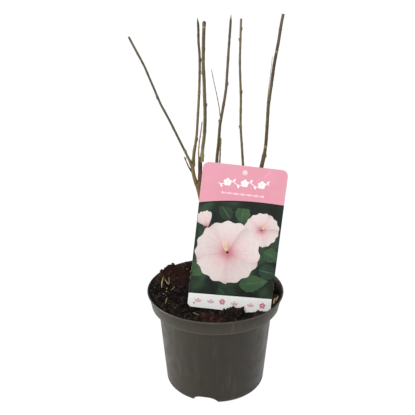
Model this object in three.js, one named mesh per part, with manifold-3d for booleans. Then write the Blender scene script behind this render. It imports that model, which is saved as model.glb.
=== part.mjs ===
// A young hibiscus shrub in winter, bare of leaves, in its round nursery pot.
//
// Millimetres, +Z up. The origin is the centre of the pot's flat underside, the front of the pot faces -Y
// and +X is to the right. One short trunk stands in the soil and forks into boughs, which carry six upright
// shoots with their buds and thin twigs. A stiff plastic plant label stands in the soil in front of them.

import * as THREE from 'three';
import { mergeVertices } from 'three/addons/utils/BufferGeometryUtils.js';
import Module from 'manifold-3d';

const wasm = await Module();
wasm.setup();

// Clearance between pieces that touch on the real shrub
const GAP = 0.3;

// Pot: a thin moulded wall, a collar that stands out on a shelf, and a rim that flares out to a lip
const POT_HEIGHT = 146;
const POT_WALL = 1.2;
const LIP_RADIUS = 95;
const LIP_FLARE_HEIGHT = 4.2;
const LIP_STEPS = 3;
const COLLAR_TOP_RADIUS = 92.2;
const COLLAR_FOOT_RADIUS = 89;
const COLLAR_DEPTH = 22;
const SHELF_HEIGHT = POT_HEIGHT - COLLAR_DEPTH;
const COLLAR_TOP_HEIGHT = POT_HEIGHT - POT_WALL - LIP_FLARE_HEIGHT;
const BODY_TOP_RADIUS = 79.8;
const BODY_FOOT_RADIUS = 69.1;
const CORNER_RADIUS = 12.2;
const UNDERSIDE_RADIUS = BODY_FOOT_RADIUS - CORNER_RADIUS;
const POT_SEGMENTS = 48;
const CORNER_STEPS = 4;

// Drainage pockets: low arches in the pot's foot, each with a hole through its raised floor
const POCKET_COUNT = 3;
const FIRST_POCKET_AZIMUTH = THREE.MathUtils.degToRad(-102.8);
const POCKET_HALF_WIDTH = 18;
const POCKET_HEIGHT = 12;
const POCKET_INNER_RADIUS = 38;
const POCKET_SQUARENESS = 0.76;
const POCKET_FACETS = 8;
const DRAIN_RADIUS = 4;
const DRAIN_CENTRE_RADIUS = 49;

// Soil: low in the middle, higher towards the wall and to the back left, lumpy, with a level place for the
// trunk. Heaps of bark stand against the label's foot and over the rim at the back left.
const SOIL_LEVEL = 135;
const SOIL_RISE_TO_WALL = 6;
const SOIL_RISE_TO_BACK = 0.03;
const SOIL_FALL_TO_RIGHT = 0.06;
const SOIL_TOP_AT_RIM = POT_HEIGHT - 1.2;
const SOIL_RINGS = 12;
const LUMP_COUNT = 40;
const LUMP_HEIGHT = [1, 3.5];
const LUMP_REACH = [4, 8];
const LUMP_SEEDS = { height: 101, reach: 1 };
const HEAPS = [
  { x: 23, y: -50, height: 9, reach: 7 },
  { x: 34, y: -50, height: 11, reach: 7 },
  { x: 56, y: -57, height: 9, reach: 6 },
  { x: 5, y: -45, height: -4, reach: 9 },
  { x: -16, y: -46, height: -1.6, reach: 14 },
  { x: 44, y: -44, height: -4, reach: 11 },
  { x: -76, y: 44, height: 6, reach: 6 },
  { x: -69, y: 53, height: 8, reach: 8 },
  { x: -62, y: 60, height: 7, reach: 8 },
];
const HEAP_EDGE = [88, 93];
const FOOT_PATCH_RADIUS = 12;
const FOOT_PATCH_BLEND = 12;
const GOLDEN_ANGLE = Math.PI * (3 - Math.sqrt(5));

// Plant label: a stiff card on a pointed stake that goes down into the soil
const CARD = { width: 113.8, length: 203.8, thickness: 0.6, topCorner: 8, footCorner: 6.5 };
const STAKE = { width: 17, length: 62, point: 14 };
const CARD_FOOT = new THREE.Vector3(17.7, -39, 133.5);
const CARD_LEAN_BACK = THREE.MathUtils.degToRad(10.6);
const CARD_ROLL = THREE.MathUtils.degToRad(6.3);
const CARD_YAW = THREE.MathUtils.degToRad(-0.5);
const CARD_CURVE_STEPS = 5;

// Limbs
const TRUNK_SIDES = 14;
const TRUNK_DEPTH = 4;
const COLLAR_SWELL = 0.25;
const COLLAR_REACH = 5;
const KINK_SPAN = 0.08;
const FLARE_SWELL = 4.2;
const FLARE_REACH = 7;
const OLD_WOOD_FADE = 0.06;
const SHOOT_SIDES = 8;
const SHOOT_STEPS = 20;
const BOUGH_STEPS = 8;
const TWIG_SIDES = 6;
const TWIG_STEPS = 8;
const SIDE_BY_SIDE = 2.2;
const BUD = { width: 1.5, length: 2.6, sides: 5, rings: 4, tilt: 0.45 };

const COLOURS = {
  pot: { color: 0x3e3a32, roughness: 0.45 },
  soil: { color: 0x1e1510, roughness: 0.95 },
  card: { color: 0xe6dfdd, roughness: 0.4 },
  bark: { color: 0x6b5c46, roughness: 0.8 },
  youngBark: { color: 0x76684c, roughness: 0.75 },
};

/** A closed manifold solid from a geometry whose seams are merged. */
function solidOf(geometry) {
  const bare = geometry.clone();
  bare.deleteAttribute('normal');
  bare.deleteAttribute('uv');
  const merged = mergeVertices(bare);
  return new wasm.Manifold(new wasm.Mesh({
    numProp: 3,
    vertProperties: new Float32Array(merged.attributes.position.array),
    triVerts: new Uint32Array(merged.index.array),
  }));
}

/** The geometry of a solid. Only its largest body is kept, so no loose scrap of a cut is left. */
function geometryOf(solid) {
  const bodies = solid.decompose();
  bodies.sort((a, b) => b.volume() - a.volume());
  const mesh = bodies[0].getMesh();
  const geometry = new THREE.BufferGeometry();
  geometry.setAttribute('position', new THREE.BufferAttribute(new Float32Array(mesh.vertProperties), 3));
  geometry.setIndex(new THREE.BufferAttribute(new Uint32Array(mesh.triVerts), 1));
  geometry.computeVertexNormals();
  return geometry;
}

function namedMesh(name, solid, look) {
  const mesh = new THREE.Mesh(geometryOf(solid), new THREE.MeshStandardMaterial({ metalness: 0, ...look }));
  mesh.name = name;
  return mesh;
}

/** A number from 0 to 1 that is always the same for the same seed. */
function seeded(seed) {
  const wave = Math.sin(seed * 12.9898) * 43758.5453;
  return wave - Math.floor(wave);
}

/** A value between the two ends of a range. */
function within(range, share) {
  return range[0] + (range[1] - range[0]) * share;
}

/** A solid of revolution about Z from points (radius, height). */
function turned(points) {
  const geometry = new THREE.LatheGeometry(points, POT_SEGMENTS);
  geometry.rotateX(Math.PI / 2);
  return geometry;
}

/** The pot's outer surface set in by a distance, from the axis at its foot up to the lip. */
function wallLine(inset) {
  const line = [new THREE.Vector2(0, inset)];
  for (let i = 0; i <= CORNER_STEPS; i++) {
    const turn = (Math.PI / 2) * (i / CORNER_STEPS);
    line.push(new THREE.Vector2(
      UNDERSIDE_RADIUS + (CORNER_RADIUS - inset) * Math.sin(turn),
      CORNER_RADIUS - (CORNER_RADIUS - inset) * Math.cos(turn),
    ));
  }
  line.push(new THREE.Vector2(BODY_TOP_RADIUS - inset, SHELF_HEIGHT + inset));
  line.push(new THREE.Vector2(COLLAR_FOOT_RADIUS - inset, SHELF_HEIGHT + inset));
  for (let i = 0; i <= LIP_STEPS; i++) {
    const turn = (Math.PI / 2) * (i / LIP_STEPS);
    line.push(new THREE.Vector2(
      LIP_RADIUS - (LIP_RADIUS - COLLAR_TOP_RADIUS + inset) * Math.cos(turn),
      COLLAR_TOP_HEIGHT + (LIP_FLARE_HEIGHT + inset) * Math.sin(turn),
    ));
  }
  return line;
}

/** The arched space of one drainage pocket, grown outwards by a distance. */
function pocketSpace(azimuth, grow) {
  const halfWidth = POCKET_HALF_WIDTH + grow;
  const height = POCKET_HEIGHT + grow;
  const innerRadius = POCKET_INNER_RADIUS - grow;
  const arch = new THREE.Shape();
  arch.moveTo(halfWidth, -POCKET_HEIGHT);
  for (let i = 0; i <= POCKET_FACETS; i++) {
    const turn = Math.PI * (i / POCKET_FACETS);
    const across = Math.sign(Math.cos(turn)) * Math.abs(Math.cos(turn)) ** POCKET_SQUARENESS;
    const up = Math.abs(Math.sin(turn)) ** POCKET_SQUARENESS;
    arch.lineTo(halfWidth * across, height * up);
  }
  arch.lineTo(-halfWidth, -POCKET_HEIGHT);
  const space = new THREE.ExtrudeGeometry(arch, { depth: LIP_RADIUS - innerRadius, bevelEnabled: false });
  space.translate(0, 0, innerRadius);
  const outward = new THREE.Vector3(Math.cos(azimuth), Math.sin(azimuth), 0);
  const up = new THREE.Vector3(0, 0, 1);
  const tangent = new THREE.Vector3().crossVectors(up, outward);
  space.applyMatrix4(new THREE.Matrix4().makeBasis(tangent, up, outward));
  return solidOf(space);
}

function pocketAzimuths() {
  const turn = (2 * Math.PI) / POCKET_COUNT;
  return Array.from({ length: POCKET_COUNT }, (_, i) => FIRST_POCKET_AZIMUTH + turn * i);
}

/** The space inside the pot at a distance from its outer surface, open above the rim. */
function potInside(inset, topHeight) {
  const line = wallLine(inset);
  line.push(new THREE.Vector2(LIP_RADIUS, topHeight));
  line.push(new THREE.Vector2(0, topHeight));
  let inside = solidOf(turned(line));
  for (const azimuth of pocketAzimuths()) {
    inside = inside.subtract(pocketSpace(azimuth, inset));
  }
  return inside;
}

function potSolid() {
  const outline = wallLine(0);
  outline.push(new THREE.Vector2(LIP_RADIUS, POT_HEIGHT));
  outline.push(new THREE.Vector2(0, POT_HEIGHT));
  let pot = solidOf(turned(outline)).subtract(potInside(POT_WALL, POT_HEIGHT + POT_WALL));
  for (const azimuth of pocketAzimuths()) {
    const drain = new THREE.CylinderGeometry(DRAIN_RADIUS, DRAIN_RADIUS, 4 * POCKET_HEIGHT, POCKET_FACETS);
    drain.rotateX(Math.PI / 2);
    drain.translate(DRAIN_CENTRE_RADIUS * Math.cos(azimuth), DRAIN_CENTRE_RADIUS * Math.sin(azimuth), 0);
    pot = pot.subtract(pocketSpace(azimuth, 0)).subtract(solidOf(drain));
  }
  return pot;
}

/** How far a heap or lump raises the soil at a distance from its middle. */
function heapAt(height, reach, distance) {
  return height * Math.exp(-((distance / reach) ** 2));
}

/** The height of the soil's surface, with lumps set out like seeds in a sunflower. */
function soilHeight(x, y, trunkFoot) {
  const fromAxis = Math.hypot(x, y);
  let rise = SOIL_RISE_TO_BACK * y - SOIL_FALL_TO_RIGHT * x;
  rise += SOIL_RISE_TO_WALL * (fromAxis / COLLAR_TOP_RADIUS) ** 4;
  for (let i = 0; i < LUMP_COUNT; i++) {
    const distance = COLLAR_TOP_RADIUS * Math.sqrt((i + 0.5) / LUMP_COUNT);
    const azimuth = GOLDEN_ANGLE * i;
    const away = Math.hypot(x - distance * Math.cos(azimuth), y - distance * Math.sin(azimuth));
    const height = within(LUMP_HEIGHT, seeded(i + LUMP_SEEDS.height));
    const reach = within(LUMP_REACH, seeded(i + LUMP_SEEDS.reach));
    rise += heapAt(height, reach, away);
  }
  rise = Math.min(rise, SOIL_TOP_AT_RIM - SOIL_LEVEL);
  const inside = 1 - THREE.MathUtils.smoothstep(fromAxis, HEAP_EDGE[0], HEAP_EDGE[1]);
  for (const heap of HEAPS) {
    rise += inside * heapAt(heap.height, heap.reach, Math.hypot(x - heap.x, y - heap.y));
  }
  const fromTrunk = Math.hypot(x - trunkFoot.x, y - trunkFoot.y);
  const open = THREE.MathUtils.smoothstep(fromTrunk, FOOT_PATCH_RADIUS, FOOT_PATCH_RADIUS + FOOT_PATCH_BLEND);
  return SOIL_LEVEL + rise * open;
}

/** The filled soil: the pot's inside, clear of the wall, under the lumpy surface. */
function soilSolid(trunkFoot, labelSlot) {
  const outside = LIP_RADIUS + GAP;
  const outline = [new THREE.Vector2(0, -GAP), new THREE.Vector2(outside, -GAP)];
  for (let ring = 0; ring <= SOIL_RINGS; ring++) {
    outline.push(new THREE.Vector2(outside * (1 - ring / SOIL_RINGS), SOIL_LEVEL));
  }
  const under = turned(outline);
  const position = under.attributes.position;
  for (let i = 0; i < position.count; i++) {
    if (position.getZ(i) > 0) {
      position.setZ(i, soilHeight(position.getX(i), position.getY(i), trunkFoot));
    }
  }
  const inside = potInside(POT_WALL + GAP, POT_HEIGHT + SOIL_LEVEL);
  return inside.intersect(solidOf(under)).subtract(labelSlot);
}

/** The outline of the label: a card with round corners and a pointed stake, grown by a distance. */
function labelOutline(grow) {
  const half = CARD.width / 2 + grow;
  const top = CARD.length + grow;
  const foot = -grow;
  const halfStake = STAKE.width / 2 + grow;
  const stakeShoulder = -(STAKE.length - STAKE.point);
  const outline = new THREE.Shape();
  outline.moveTo(halfStake, foot);
  outline.lineTo(half - CARD.footCorner, foot);
  outline.quadraticCurveTo(half, foot, half, foot + CARD.footCorner);
  outline.lineTo(half, top - CARD.topCorner);
  outline.quadraticCurveTo(half, top, half - CARD.topCorner, top);
  outline.lineTo(CARD.topCorner - half, top);
  outline.quadraticCurveTo(-half, top, -half, top - CARD.topCorner);
  outline.lineTo(-half, foot + CARD.footCorner);
  outline.quadraticCurveTo(-half, foot, CARD.footCorner - half, foot);
  outline.lineTo(-halfStake, foot);
  outline.lineTo(-halfStake, stakeShoulder);
  outline.lineTo(0, -STAKE.length - grow);
  outline.lineTo(halfStake, stakeShoulder);
  outline.closePath();
  return outline;
}

/** The label's solid, upright in the XY plane with its face towards +Z. */
function labelSolid(grow) {
  const depth = CARD.thickness + 2 * grow;
  const shape = { depth, bevelEnabled: false, curveSegments: CARD_CURVE_STEPS };
  const plate = new THREE.ExtrudeGeometry(labelOutline(grow), shape);
  plate.translate(0, 0, -CARD.thickness - grow);
  return solidOf(plate);
}

/** Turns the label upright, leans it back, and rolls it clockwise as seen from the front. */
function labelPlace() {
  const upright = new THREE.Euler(Math.PI / 2 - CARD_LEAN_BACK, 0, CARD_YAW, 'ZXY');
  const place = new THREE.Matrix4().makeRotationFromEuler(upright);
  place.multiply(new THREE.Matrix4().makeRotationZ(-CARD_ROLL));
  return place.setPosition(CARD_FOOT);
}

/**
 * A woody limb: a gently bowed line from foot to tip, with small bends at some nodes. Its older wood, up to
 * a share of its length, may be thicker than the last year's growth above it.
 */
class Limb extends THREE.Curve {
  constructor({
    foot, tip, bowLow = [0, 0, 0], bowHigh = [0, 0, 0], kinks = [], radius, flare = 0, oldWood = null,
  }) {
    super();
    this.foot = new THREE.Vector3(...foot);
    this.tip = new THREE.Vector3(...tip);
    this.bowLow = new THREE.Vector3(...bowLow);
    this.bowHigh = new THREE.Vector3(...bowHigh);
    this.kinks = kinks;
    this.radius = radius;
    this.flare = flare;
    this.oldWood = oldWood;
    this.span = this.foot.distanceTo(this.tip);
  }

  getPoint(t, target = new THREE.Vector3()) {
    target.lerpVectors(this.foot, this.tip, t);
    target.addScaledVector(this.bowLow, 3 * t * (1 - t) ** 2);
    target.addScaledVector(this.bowHigh, 3 * t ** 2 * (1 - t));
    for (const [place, shift] of this.kinks) {
      target.x += shift * Math.exp(-(((t - place) / KINK_SPAN) ** 2));
    }
    return target;
  }

  /** The radius: a steady taper, a collar where the limb starts, its older wood, and a root flare. */
  radiusAt(t) {
    const along = t * this.span;
    const collar = COLLAR_SWELL * this.radius[0] * Math.exp(-along / COLLAR_REACH);
    const flare = this.flare * Math.exp(-along / FLARE_REACH);
    return within(this.radius, t) + collar + flare + this.oldWoodAt(t);
  }

  oldWoodAt(t) {
    if (!this.oldWood) {
      return 0;
    }
    const { upTo, swell } = this.oldWood;
    return swell * (1 - THREE.MathUtils.smoothstep(t, upTo - OLD_WOOD_FADE, upTo));
  }

  /** A point on the limb moved sideways, for a child that starts there. */
  beside(t, shift = 0) {
    const point = this.getPoint(t);
    point.x += shift;
    return point.toArray();
  }
}

/** A closed solid round a limb: a unit cylinder bent along it, grown outwards by a distance. */
function limbSolid(limb, sides, steps, grow = 0) {
  const skin = new THREE.CylinderGeometry(1, 1, 1, sides, steps);
  const position = skin.attributes.position;
  const right = new THREE.Vector3(1, 0, 0);
  const point = new THREE.Vector3();
  for (let i = 0; i < position.count; i++) {
    const t = position.getY(i) + 0.5;
    const along = limb.getTangent(t);
    const side = right.clone().addScaledVector(along, -right.dot(along)).normalize();
    const face = new THREE.Vector3().crossVectors(side, along);
    const radius = limb.radiusAt(t) + grow;
    limb.getPoint(t, point);
    point.addScaledVector(side, position.getX(i) * radius);
    point.addScaledVector(face, position.getZ(i) * radius);
    if (t === 0 || t === 1) {
      point.addScaledVector(along, t === 0 ? -grow : grow);
    }
    position.setXYZ(i, point.x, point.y, point.z);
  }
  return solidOf(skin);
}

function boughSolid(limb) {
  return limbSolid(limb, SHOOT_SIDES, BOUGH_STEPS);
}

function twigSolid(limb, grow = 0) {
  return limbSolid(limb, TWIG_SIDES, TWIG_STEPS, grow);
}

/** A bud at a node, half sunk in the bark and tilted up along the limb. */
function budSolid(limb, t, azimuth) {
  const bud = new THREE.SphereGeometry(1, BUD.sides, BUD.rings);
  bud.scale(BUD.width, BUD.length, BUD.width);
  bud.rotateZ(-BUD.tilt);
  bud.translate(limb.radiusAt(t), 0, 0);
  bud.rotateX(Math.PI / 2);
  bud.rotateZ(azimuth);
  bud.translate(...limb.getPoint(t).toArray());
  return solidOf(bud);
}

/** A shoot with its buds and thin twigs fused on. */
function shootSolid(limb, buds, twigs = []) {
  let shoot = limbSolid(limb, SHOOT_SIDES, SHOOT_STEPS);
  for (const [t, degrees] of buds) {
    shoot = shoot.add(budSolid(limb, t, THREE.MathUtils.degToRad(degrees)));
  }
  for (const twig of twigs) {
    shoot = shoot.add(twigSolid(twig));
  }
  return shoot;
}

/** A thin twig that leaves a limb at t and reaches by an offset. */
function twigOn(parent, t, reach, radius, bowLow = [0, 0, 0]) {
  const foot = parent.beside(t);
  const tip = foot.map((value, axis) => value + reach[axis]);
  return new Limb({ foot, tip, radius, bowLow });
}

// Trunk and boughs
const trunk = new Limb({
  foot: [-0.2, 8, SOIL_LEVEL + GAP - TRUNK_DEPTH],
  tip: [-24, 8.9, 303.9],
  bowLow: [8, 0, 1.6],
  bowHigh: [4.2, 0, 10.5],
  radius: [5.8, 4.7],
  flare: FLARE_SWELL,
});
const leftBough = new Limb({
  foot: trunk.beside(0.975, -SIDE_BY_SIDE),
  tip: [-31.1, 6.9, 329.8],
  bowLow: [-1.5, 0, 0],
  bowHigh: [-1.5, 0, -1.5],
  radius: [2.6, 2.5],
});
const centreBough = new Limb({
  foot: trunk.beside(0.975, SIDE_BY_SIDE),
  tip: [-20.9, 8, 339.9],
  radius: [2.9, 2.75],
});
const middleBough = new Limb({
  foot: trunk.beside(0.38),
  tip: [-0.3, 27, 292.1],
  bowLow: [1, 0, 0],
  bowHigh: [-1, -1, 0],
  radius: [3.0, 2.5],
});
const rightBough = new Limb({
  foot: trunk.beside(0.17),
  tip: [45.1, 14.2, 257.5],
  bowLow: [-11, 1, 0],
  bowHigh: [4, 0, 0],
  radius: [4.0, 3.4],
});

// Shoots, from the left to the right
const farLeftShoot = new Limb({
  foot: leftBough.beside(0.97, -0.4),
  tip: [-108.2, -40.4, 519.1],
  bowLow: [0.2, -3, 0],
  bowHigh: [-0.2, -3, 0],
  kinks: [[0.5, -1], [0.68, 0.6], [0.79, 1.7], [0.9, 0.7]],
  radius: [1.6, 1.35],
});
const leftShoot = new Limb({
  foot: leftBough.beside(0.95, 0.5),
  tip: [-24.3, 61.9, 515.4],
  bowLow: [5.8, 3, -6.9],
  bowHigh: [8.7, 4, 16.6],
  kinks: [[0.1, -0.7], [0.2, 0.6], [0.82, -1.1]],
  radius: [1.75, 1.6],
  oldWood: { upTo: 0.185, swell: 0.4 },
});
const centreShoot = new Limb({
  foot: centreBough.beside(0.88, 1.8),
  tip: [-15.1, 2, 526.5],
  bowLow: [9.5, 0, 0],
  bowHigh: [-3, 0, -2.5],
  kinks: [[0.1, -0.8], [0.5, -0.3], [0.7, -0.6]],
  radius: [2.25, 2.15],
});
const backShoot = new Limb({
  foot: middleBough.beside(0.96),
  tip: [20.4, 88.1, 513.3],
  bowLow: [-1.6, 3, 2.3],
  bowHigh: [3, 6, -3],
  kinks: [[0.19, -0.8], [0.37, -1.4], [0.45, 0.7], [0.58, 1.7], [0.7, 0.6]],
  radius: [2.2, 1.6],
});
const rightShoot = new Limb({
  foot: rightBough.beside(0.97, -1.2),
  tip: [32.8, 52.2, 517.9],
  bowLow: [-5.7, 2, 1],
  bowHigh: [-5.6, 4, -1.6],
  kinks: [[0.45, -0.6], [0.61, 0.7], [0.8, -0.4]],
  radius: [1.75, 1.45],
});
const farRightShoot = new Limb({
  foot: rightBough.beside(0.97, 0.8),
  tip: [82, -31.6, 545.4],
  bowLow: [17.1, 2, 0],
  bowHigh: [-6.2, 4, -1],
  kinks: [[0.35, 1.3], [0.57, -1.2], [0.87, 1.2]],
  radius: [2.35, 1.85],
  oldWood: { upTo: 0.35, swell: 0.5 },
});

// Thin twigs
const snag = twigOn(leftBough, 0.58, [-12.7, -7.5, 28.3], [1.1, 0.6], [-3, 0, 0]);
const snagProng = twigOn(snag, 0.78, [0.6, 1, 5], [0.7, 0.45]);
const centreTwig = new Limb({
  foot: centreBough.beside(0.98, -1.7),
  tip: [-17.9, -5, 396.3],
  bowLow: [-2.9, -2, 0],
  radius: [0.75, 0.5],
});
const backTwig = twigOn(backShoot, 0.385, [-12.5, -18, 78.9], [0.55, 0.35], [3, 0, 0]);
const budTwig = twigOn(backShoot, 0.02, [7.4, -6, 70], [1.05, 1], [5.7, -1, 0]);
const farRightTwig = twigOn(farRightShoot, 0.458, [4, -12, 100], [0.5, 0.3], [-5, 0, 0]);

// Each shoot's buds: how far along it, and which way they face in degrees from +X
const BUDS = {
  farLeft: [[0.115, 60], [0.315, 250], [0.552, 180], [0.734, 90], [0.877, 140]],
  left: [[0.186, 0], [0.348, 150], [0.477, 200], [0.687, 0], [0.857, 120]],
  centre: [[0.04, 20], [0.225, 80], [0.42, 0], [0.653, 180], [0.82, 60]],
  back: [[0.278, 0], [0.385, 180], [0.48, 90], [0.603, 0], [0.75, 230], [0.88, 100]],
  right: [[0.3, 100], [0.454, 180], [0.54, 220], [0.633, 0], [0.78, 110], [0.895, 180], [0.957, 0]],
  farRight: [[0.313, 0], [0.465, 90], [0.6, 240], [0.72, 10], [0.83, 170], [0.93, 60]],
};

/** What a limb keeps clear of: its neighbour grown by the gap. */
function clearOf(limb, sides = SHOOT_SIDES) {
  return limbSolid(limb, sides, SHOOT_STEPS, GAP);
}

/** Everything below the level that the trunk stands on. */
function belowGround() {
  const slab = new THREE.BoxGeometry(4 * LIP_RADIUS, 4 * LIP_RADIUS, SOIL_LEVEL);
  slab.translate(0, 0, SOIL_LEVEL / 2 + GAP);
  return solidOf(slab);
}

const label = labelSolid(0);
const labelSlot = labelSolid(GAP).transform(labelPlace().elements);
const nearTrunk = clearOf(trunk, TRUNK_SIDES);
const nearLeftBough = clearOf(leftBough);
const nearCentreBough = clearOf(centreBough);
const nearMiddleBough = clearOf(middleBough);
const nearRightBough = clearOf(rightBough);
const nearSnag = twigSolid(snag, GAP).add(twigSolid(snagProng, GAP));
const trunkSolid = limbSolid(trunk, TRUNK_SIDES, SHOOT_STEPS).subtract(belowGround());
const leftBoughSolid = boughSolid(leftBough).subtract(nearTrunk);
const centreBoughSolid = boughSolid(centreBough).add(twigSolid(centreTwig));
const snagSolid = twigSolid(snag).add(twigSolid(snagProng)).subtract(nearLeftBough);

const plant = new THREE.Group();
plant.add(
  namedMesh('trunk', trunkSolid, COLOURS.bark),
  namedMesh('left_bough', leftBoughSolid.subtract(nearCentreBough), COLOURS.bark),
  namedMesh('centre_bough', centreBoughSolid.subtract(nearTrunk), COLOURS.bark),
  namedMesh('middle_bough', boughSolid(middleBough).subtract(nearTrunk), COLOURS.bark),
  namedMesh('right_bough', boughSolid(rightBough).subtract(nearTrunk), COLOURS.bark),
  namedMesh('snag_twig', snagSolid, COLOURS.youngBark),
  namedMesh(
    'far_left_shoot',
    shootSolid(farLeftShoot, BUDS.farLeft).subtract(nearLeftBough).subtract(nearSnag),
    COLOURS.youngBark,
  ),
  namedMesh(
    'left_shoot',
    shootSolid(leftShoot, BUDS.left).subtract(nearLeftBough).subtract(clearOf(farLeftShoot)),
    COLOURS.youngBark,
  ),
  namedMesh(
    'centre_shoot',
    shootSolid(centreShoot, BUDS.centre).subtract(nearCentreBough).subtract(twigSolid(centreTwig, GAP)),
    COLOURS.youngBark,
  ),
  namedMesh(
    'back_shoot',
    shootSolid(backShoot, BUDS.back, [backTwig, budTwig]).subtract(nearMiddleBough),
    COLOURS.youngBark,
  ),
  namedMesh(
    'right_shoot',
    shootSolid(rightShoot, BUDS.right).subtract(nearRightBough).subtract(clearOf(farRightShoot)),
    COLOURS.youngBark,
  ),
  namedMesh(
    'far_right_shoot',
    shootSolid(farRightShoot, BUDS.farRight, [farRightTwig]).subtract(nearRightBough),
    COLOURS.youngBark,
  ),
);

const labelMesh = namedMesh('plant_label', label, COLOURS.card);
labelMesh.applyMatrix4(labelPlace());

const potted = new THREE.Group();
potted.add(
  namedMesh('pot', potSolid(), COLOURS.pot),
  namedMesh('soil', soilSolid(trunk.foot, labelSlot), COLOURS.soil),
  labelMesh,
  plant,
);

export default potted;
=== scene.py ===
"""The looks of a young hibiscus shrub in winter, bare of leaves, in its nursery pot with a plant label.

Sizes are in millimetres, as on the part, and become metres where a mesh is made. The pot stands on the
floor at the origin, its front faces -Y and +X is to the right.
"""

import math
from itertools import product

import bmesh
import bpy
import numpy as np
from mathutils import Matrix, Vector


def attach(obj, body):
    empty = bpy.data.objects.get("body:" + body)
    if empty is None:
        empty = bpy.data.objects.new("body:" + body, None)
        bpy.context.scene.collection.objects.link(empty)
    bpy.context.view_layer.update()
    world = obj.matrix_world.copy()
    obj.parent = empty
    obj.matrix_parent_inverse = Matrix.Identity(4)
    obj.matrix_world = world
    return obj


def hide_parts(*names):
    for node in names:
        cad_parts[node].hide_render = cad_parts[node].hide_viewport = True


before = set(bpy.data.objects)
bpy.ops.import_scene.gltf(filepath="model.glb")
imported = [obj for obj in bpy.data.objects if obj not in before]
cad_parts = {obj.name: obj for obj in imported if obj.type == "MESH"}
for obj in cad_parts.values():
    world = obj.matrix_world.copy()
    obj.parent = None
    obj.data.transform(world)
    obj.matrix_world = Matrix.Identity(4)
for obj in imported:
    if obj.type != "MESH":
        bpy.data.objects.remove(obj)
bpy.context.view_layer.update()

MM = 0.001
BODY = "root"

# Pot
POT_HEIGHT = 146
POT_WALL = 1.2
LIP_RADIUS = 95
LIP_FLARE_HEIGHT = 4.2
LIP_FLARE_END = math.radians(65)
BEAD_RADIUS = 1
BEAD_TURN = (math.radians(-120), math.radians(150))
COLLAR_TOP_RADIUS = 92.2
COLLAR_FOOT_RADIUS = 89
SHELF_HEIGHT = 124
COLLAR_TOP_HEIGHT = POT_HEIGHT - POT_WALL - LIP_FLARE_HEIGHT
BODY_TOP_RADIUS = 79.8
BODY_FOOT_RADIUS = 69.1
CORNER_RADIUS = 12.2
EDGE_ROUNDING = 0.6
POT_SEGMENTS = 256
POCKET_COUNT = 3
FIRST_POCKET_AZIMUTH = math.radians(-102.8)
POCKET_HALF_WIDTH = 18
POCKET_HEIGHT = 12
POCKET_INNER_RADIUS = 38
POCKET_SQUARENESS = 0.76
POCKET_FACETS = 24
DRAIN_RADIUS = 4
DRAIN_CENTRE_RADIUS = 49

# Soil
GAP = 0.3
SOIL_LEVEL = 135
SOIL_RISE_TO_WALL = 6
SOIL_RISE_TO_BACK = 0.03
SOIL_FALL_TO_RIGHT = 0.06
SOIL_TOP_AT_RIM = POT_HEIGHT - 1.2
LUMP_COUNT = 40
LUMP_HEIGHT = (1, 3.5)
LUMP_REACH = (4, 8)
LUMP_SEEDS = (101, 1)
HEAPS = (
    (23, -50, 9, 7),
    (34, -50, 11, 7),
    (56, -57, 9, 6),
    (5, -45, -4, 9),
    (-16, -46, -1.6, 14),
    (44, -44, -4, 11),
    (-76, 44, 6, 6),
    (-69, 53, 8, 8),
    (-62, 60, 7, 8),
)
HEAP_EDGE = (88, 93)
FOOT_PATCH_RADIUS = 12
FOOT_PATCH_BLEND = 12
SOIL_GRAIN = ((7, 1.1), (3.2, 0.7), (1.5, 0.35))
SOIL_RINGS = 110
SOIL_SEGMENTS = 360
GOLDEN_ANGLE = math.pi * (3 - math.sqrt(5))

# Plant label
CARD_WIDTH = 113.8
CARD_LENGTH = 203.1
CARD_THICKNESS = 0.6
CARD_TOP_CORNER = 8.6
CARD_FOOT_CORNER = 6.5
STAKE_WIDTH = 17
STAKE_LENGTH = 62
STAKE_POINT = 14
CARD_FOOT = (17.7, -39, 133.5)
CARD_LEAN_BACK = math.radians(10.6)
CARD_ROLL = math.radians(6.3)
CARD_YAW = math.radians(-0.5)

# Limbs
COLLAR_SWELL = 0.25
COLLAR_REACH = 5
KINK_SPAN = 0.08
FLARE_SWELL = 4.2
FLARE_REACH = 7
TRUNK_DEPTH = 4
SIDE_BY_SIDE = 2.2
OLD_WOOD_FADE = 0.06
TANGENT_STEP = 0.001


def srgb(red, green, blue):
    """A colour given as it looks on a screen, 0 to 255, as the linear colour that shaders take."""
    return tuple(
        c / 12.92 if c <= 0.04045 else ((c + 0.055) / 1.055) ** 2.4
        for c in (red / 255, green / 255, blue / 255)
    )


# The waves whose far decimals serve as random numbers
WAVE_HEIGHT = 43758.5453
SEED_WAVE = 12.9898
CELL_WAVES = (127.1, 311.7, 74.7)
CELL_SEED_WAVE = 13.7


def seeded(seed):
    """A number from 0 to 1 that is always the same for the same seed."""
    wave = math.sin(seed * SEED_WAVE) * WAVE_HEIGHT
    return wave - math.floor(wave)


def within(span, share):
    return span[0] + (span[1] - span[0]) * share


def smoothstep(value, low, high):
    share = np.clip((value - low) / (high - low), 0, 1)
    return share * share * (3 - 2 * share)


def bump(distance, reach):
    """A smooth rise of height 1 that fades with the distance."""
    return np.exp(-((distance / reach) ** 2))


def unit(vectors):
    return vectors / np.linalg.norm(vectors, axis=-1, keepdims=True)


def full_turn(steps):
    """Even angles round a full turn."""
    return 2 * math.pi * np.arange(steps) / steps


def noise(points, seed=0):
    """Smooth noise from -1 to 1 at each point (n, 3), with features about one unit wide."""
    cell = np.floor(points)
    part = points - cell
    part = part * part * (3 - 2 * part)
    total = np.zeros(len(points))
    for corner in product((0, 1), repeat=3):
        weight = np.prod(np.where(corner, part, 1 - part), axis=1)
        wave = np.sin((cell + corner) @ CELL_WAVES + seed * CELL_SEED_WAVE) * WAVE_HEIGHT
        total += weight * (wave - np.floor(wave))
    return 2 * total - 1


# Making pieces

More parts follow.
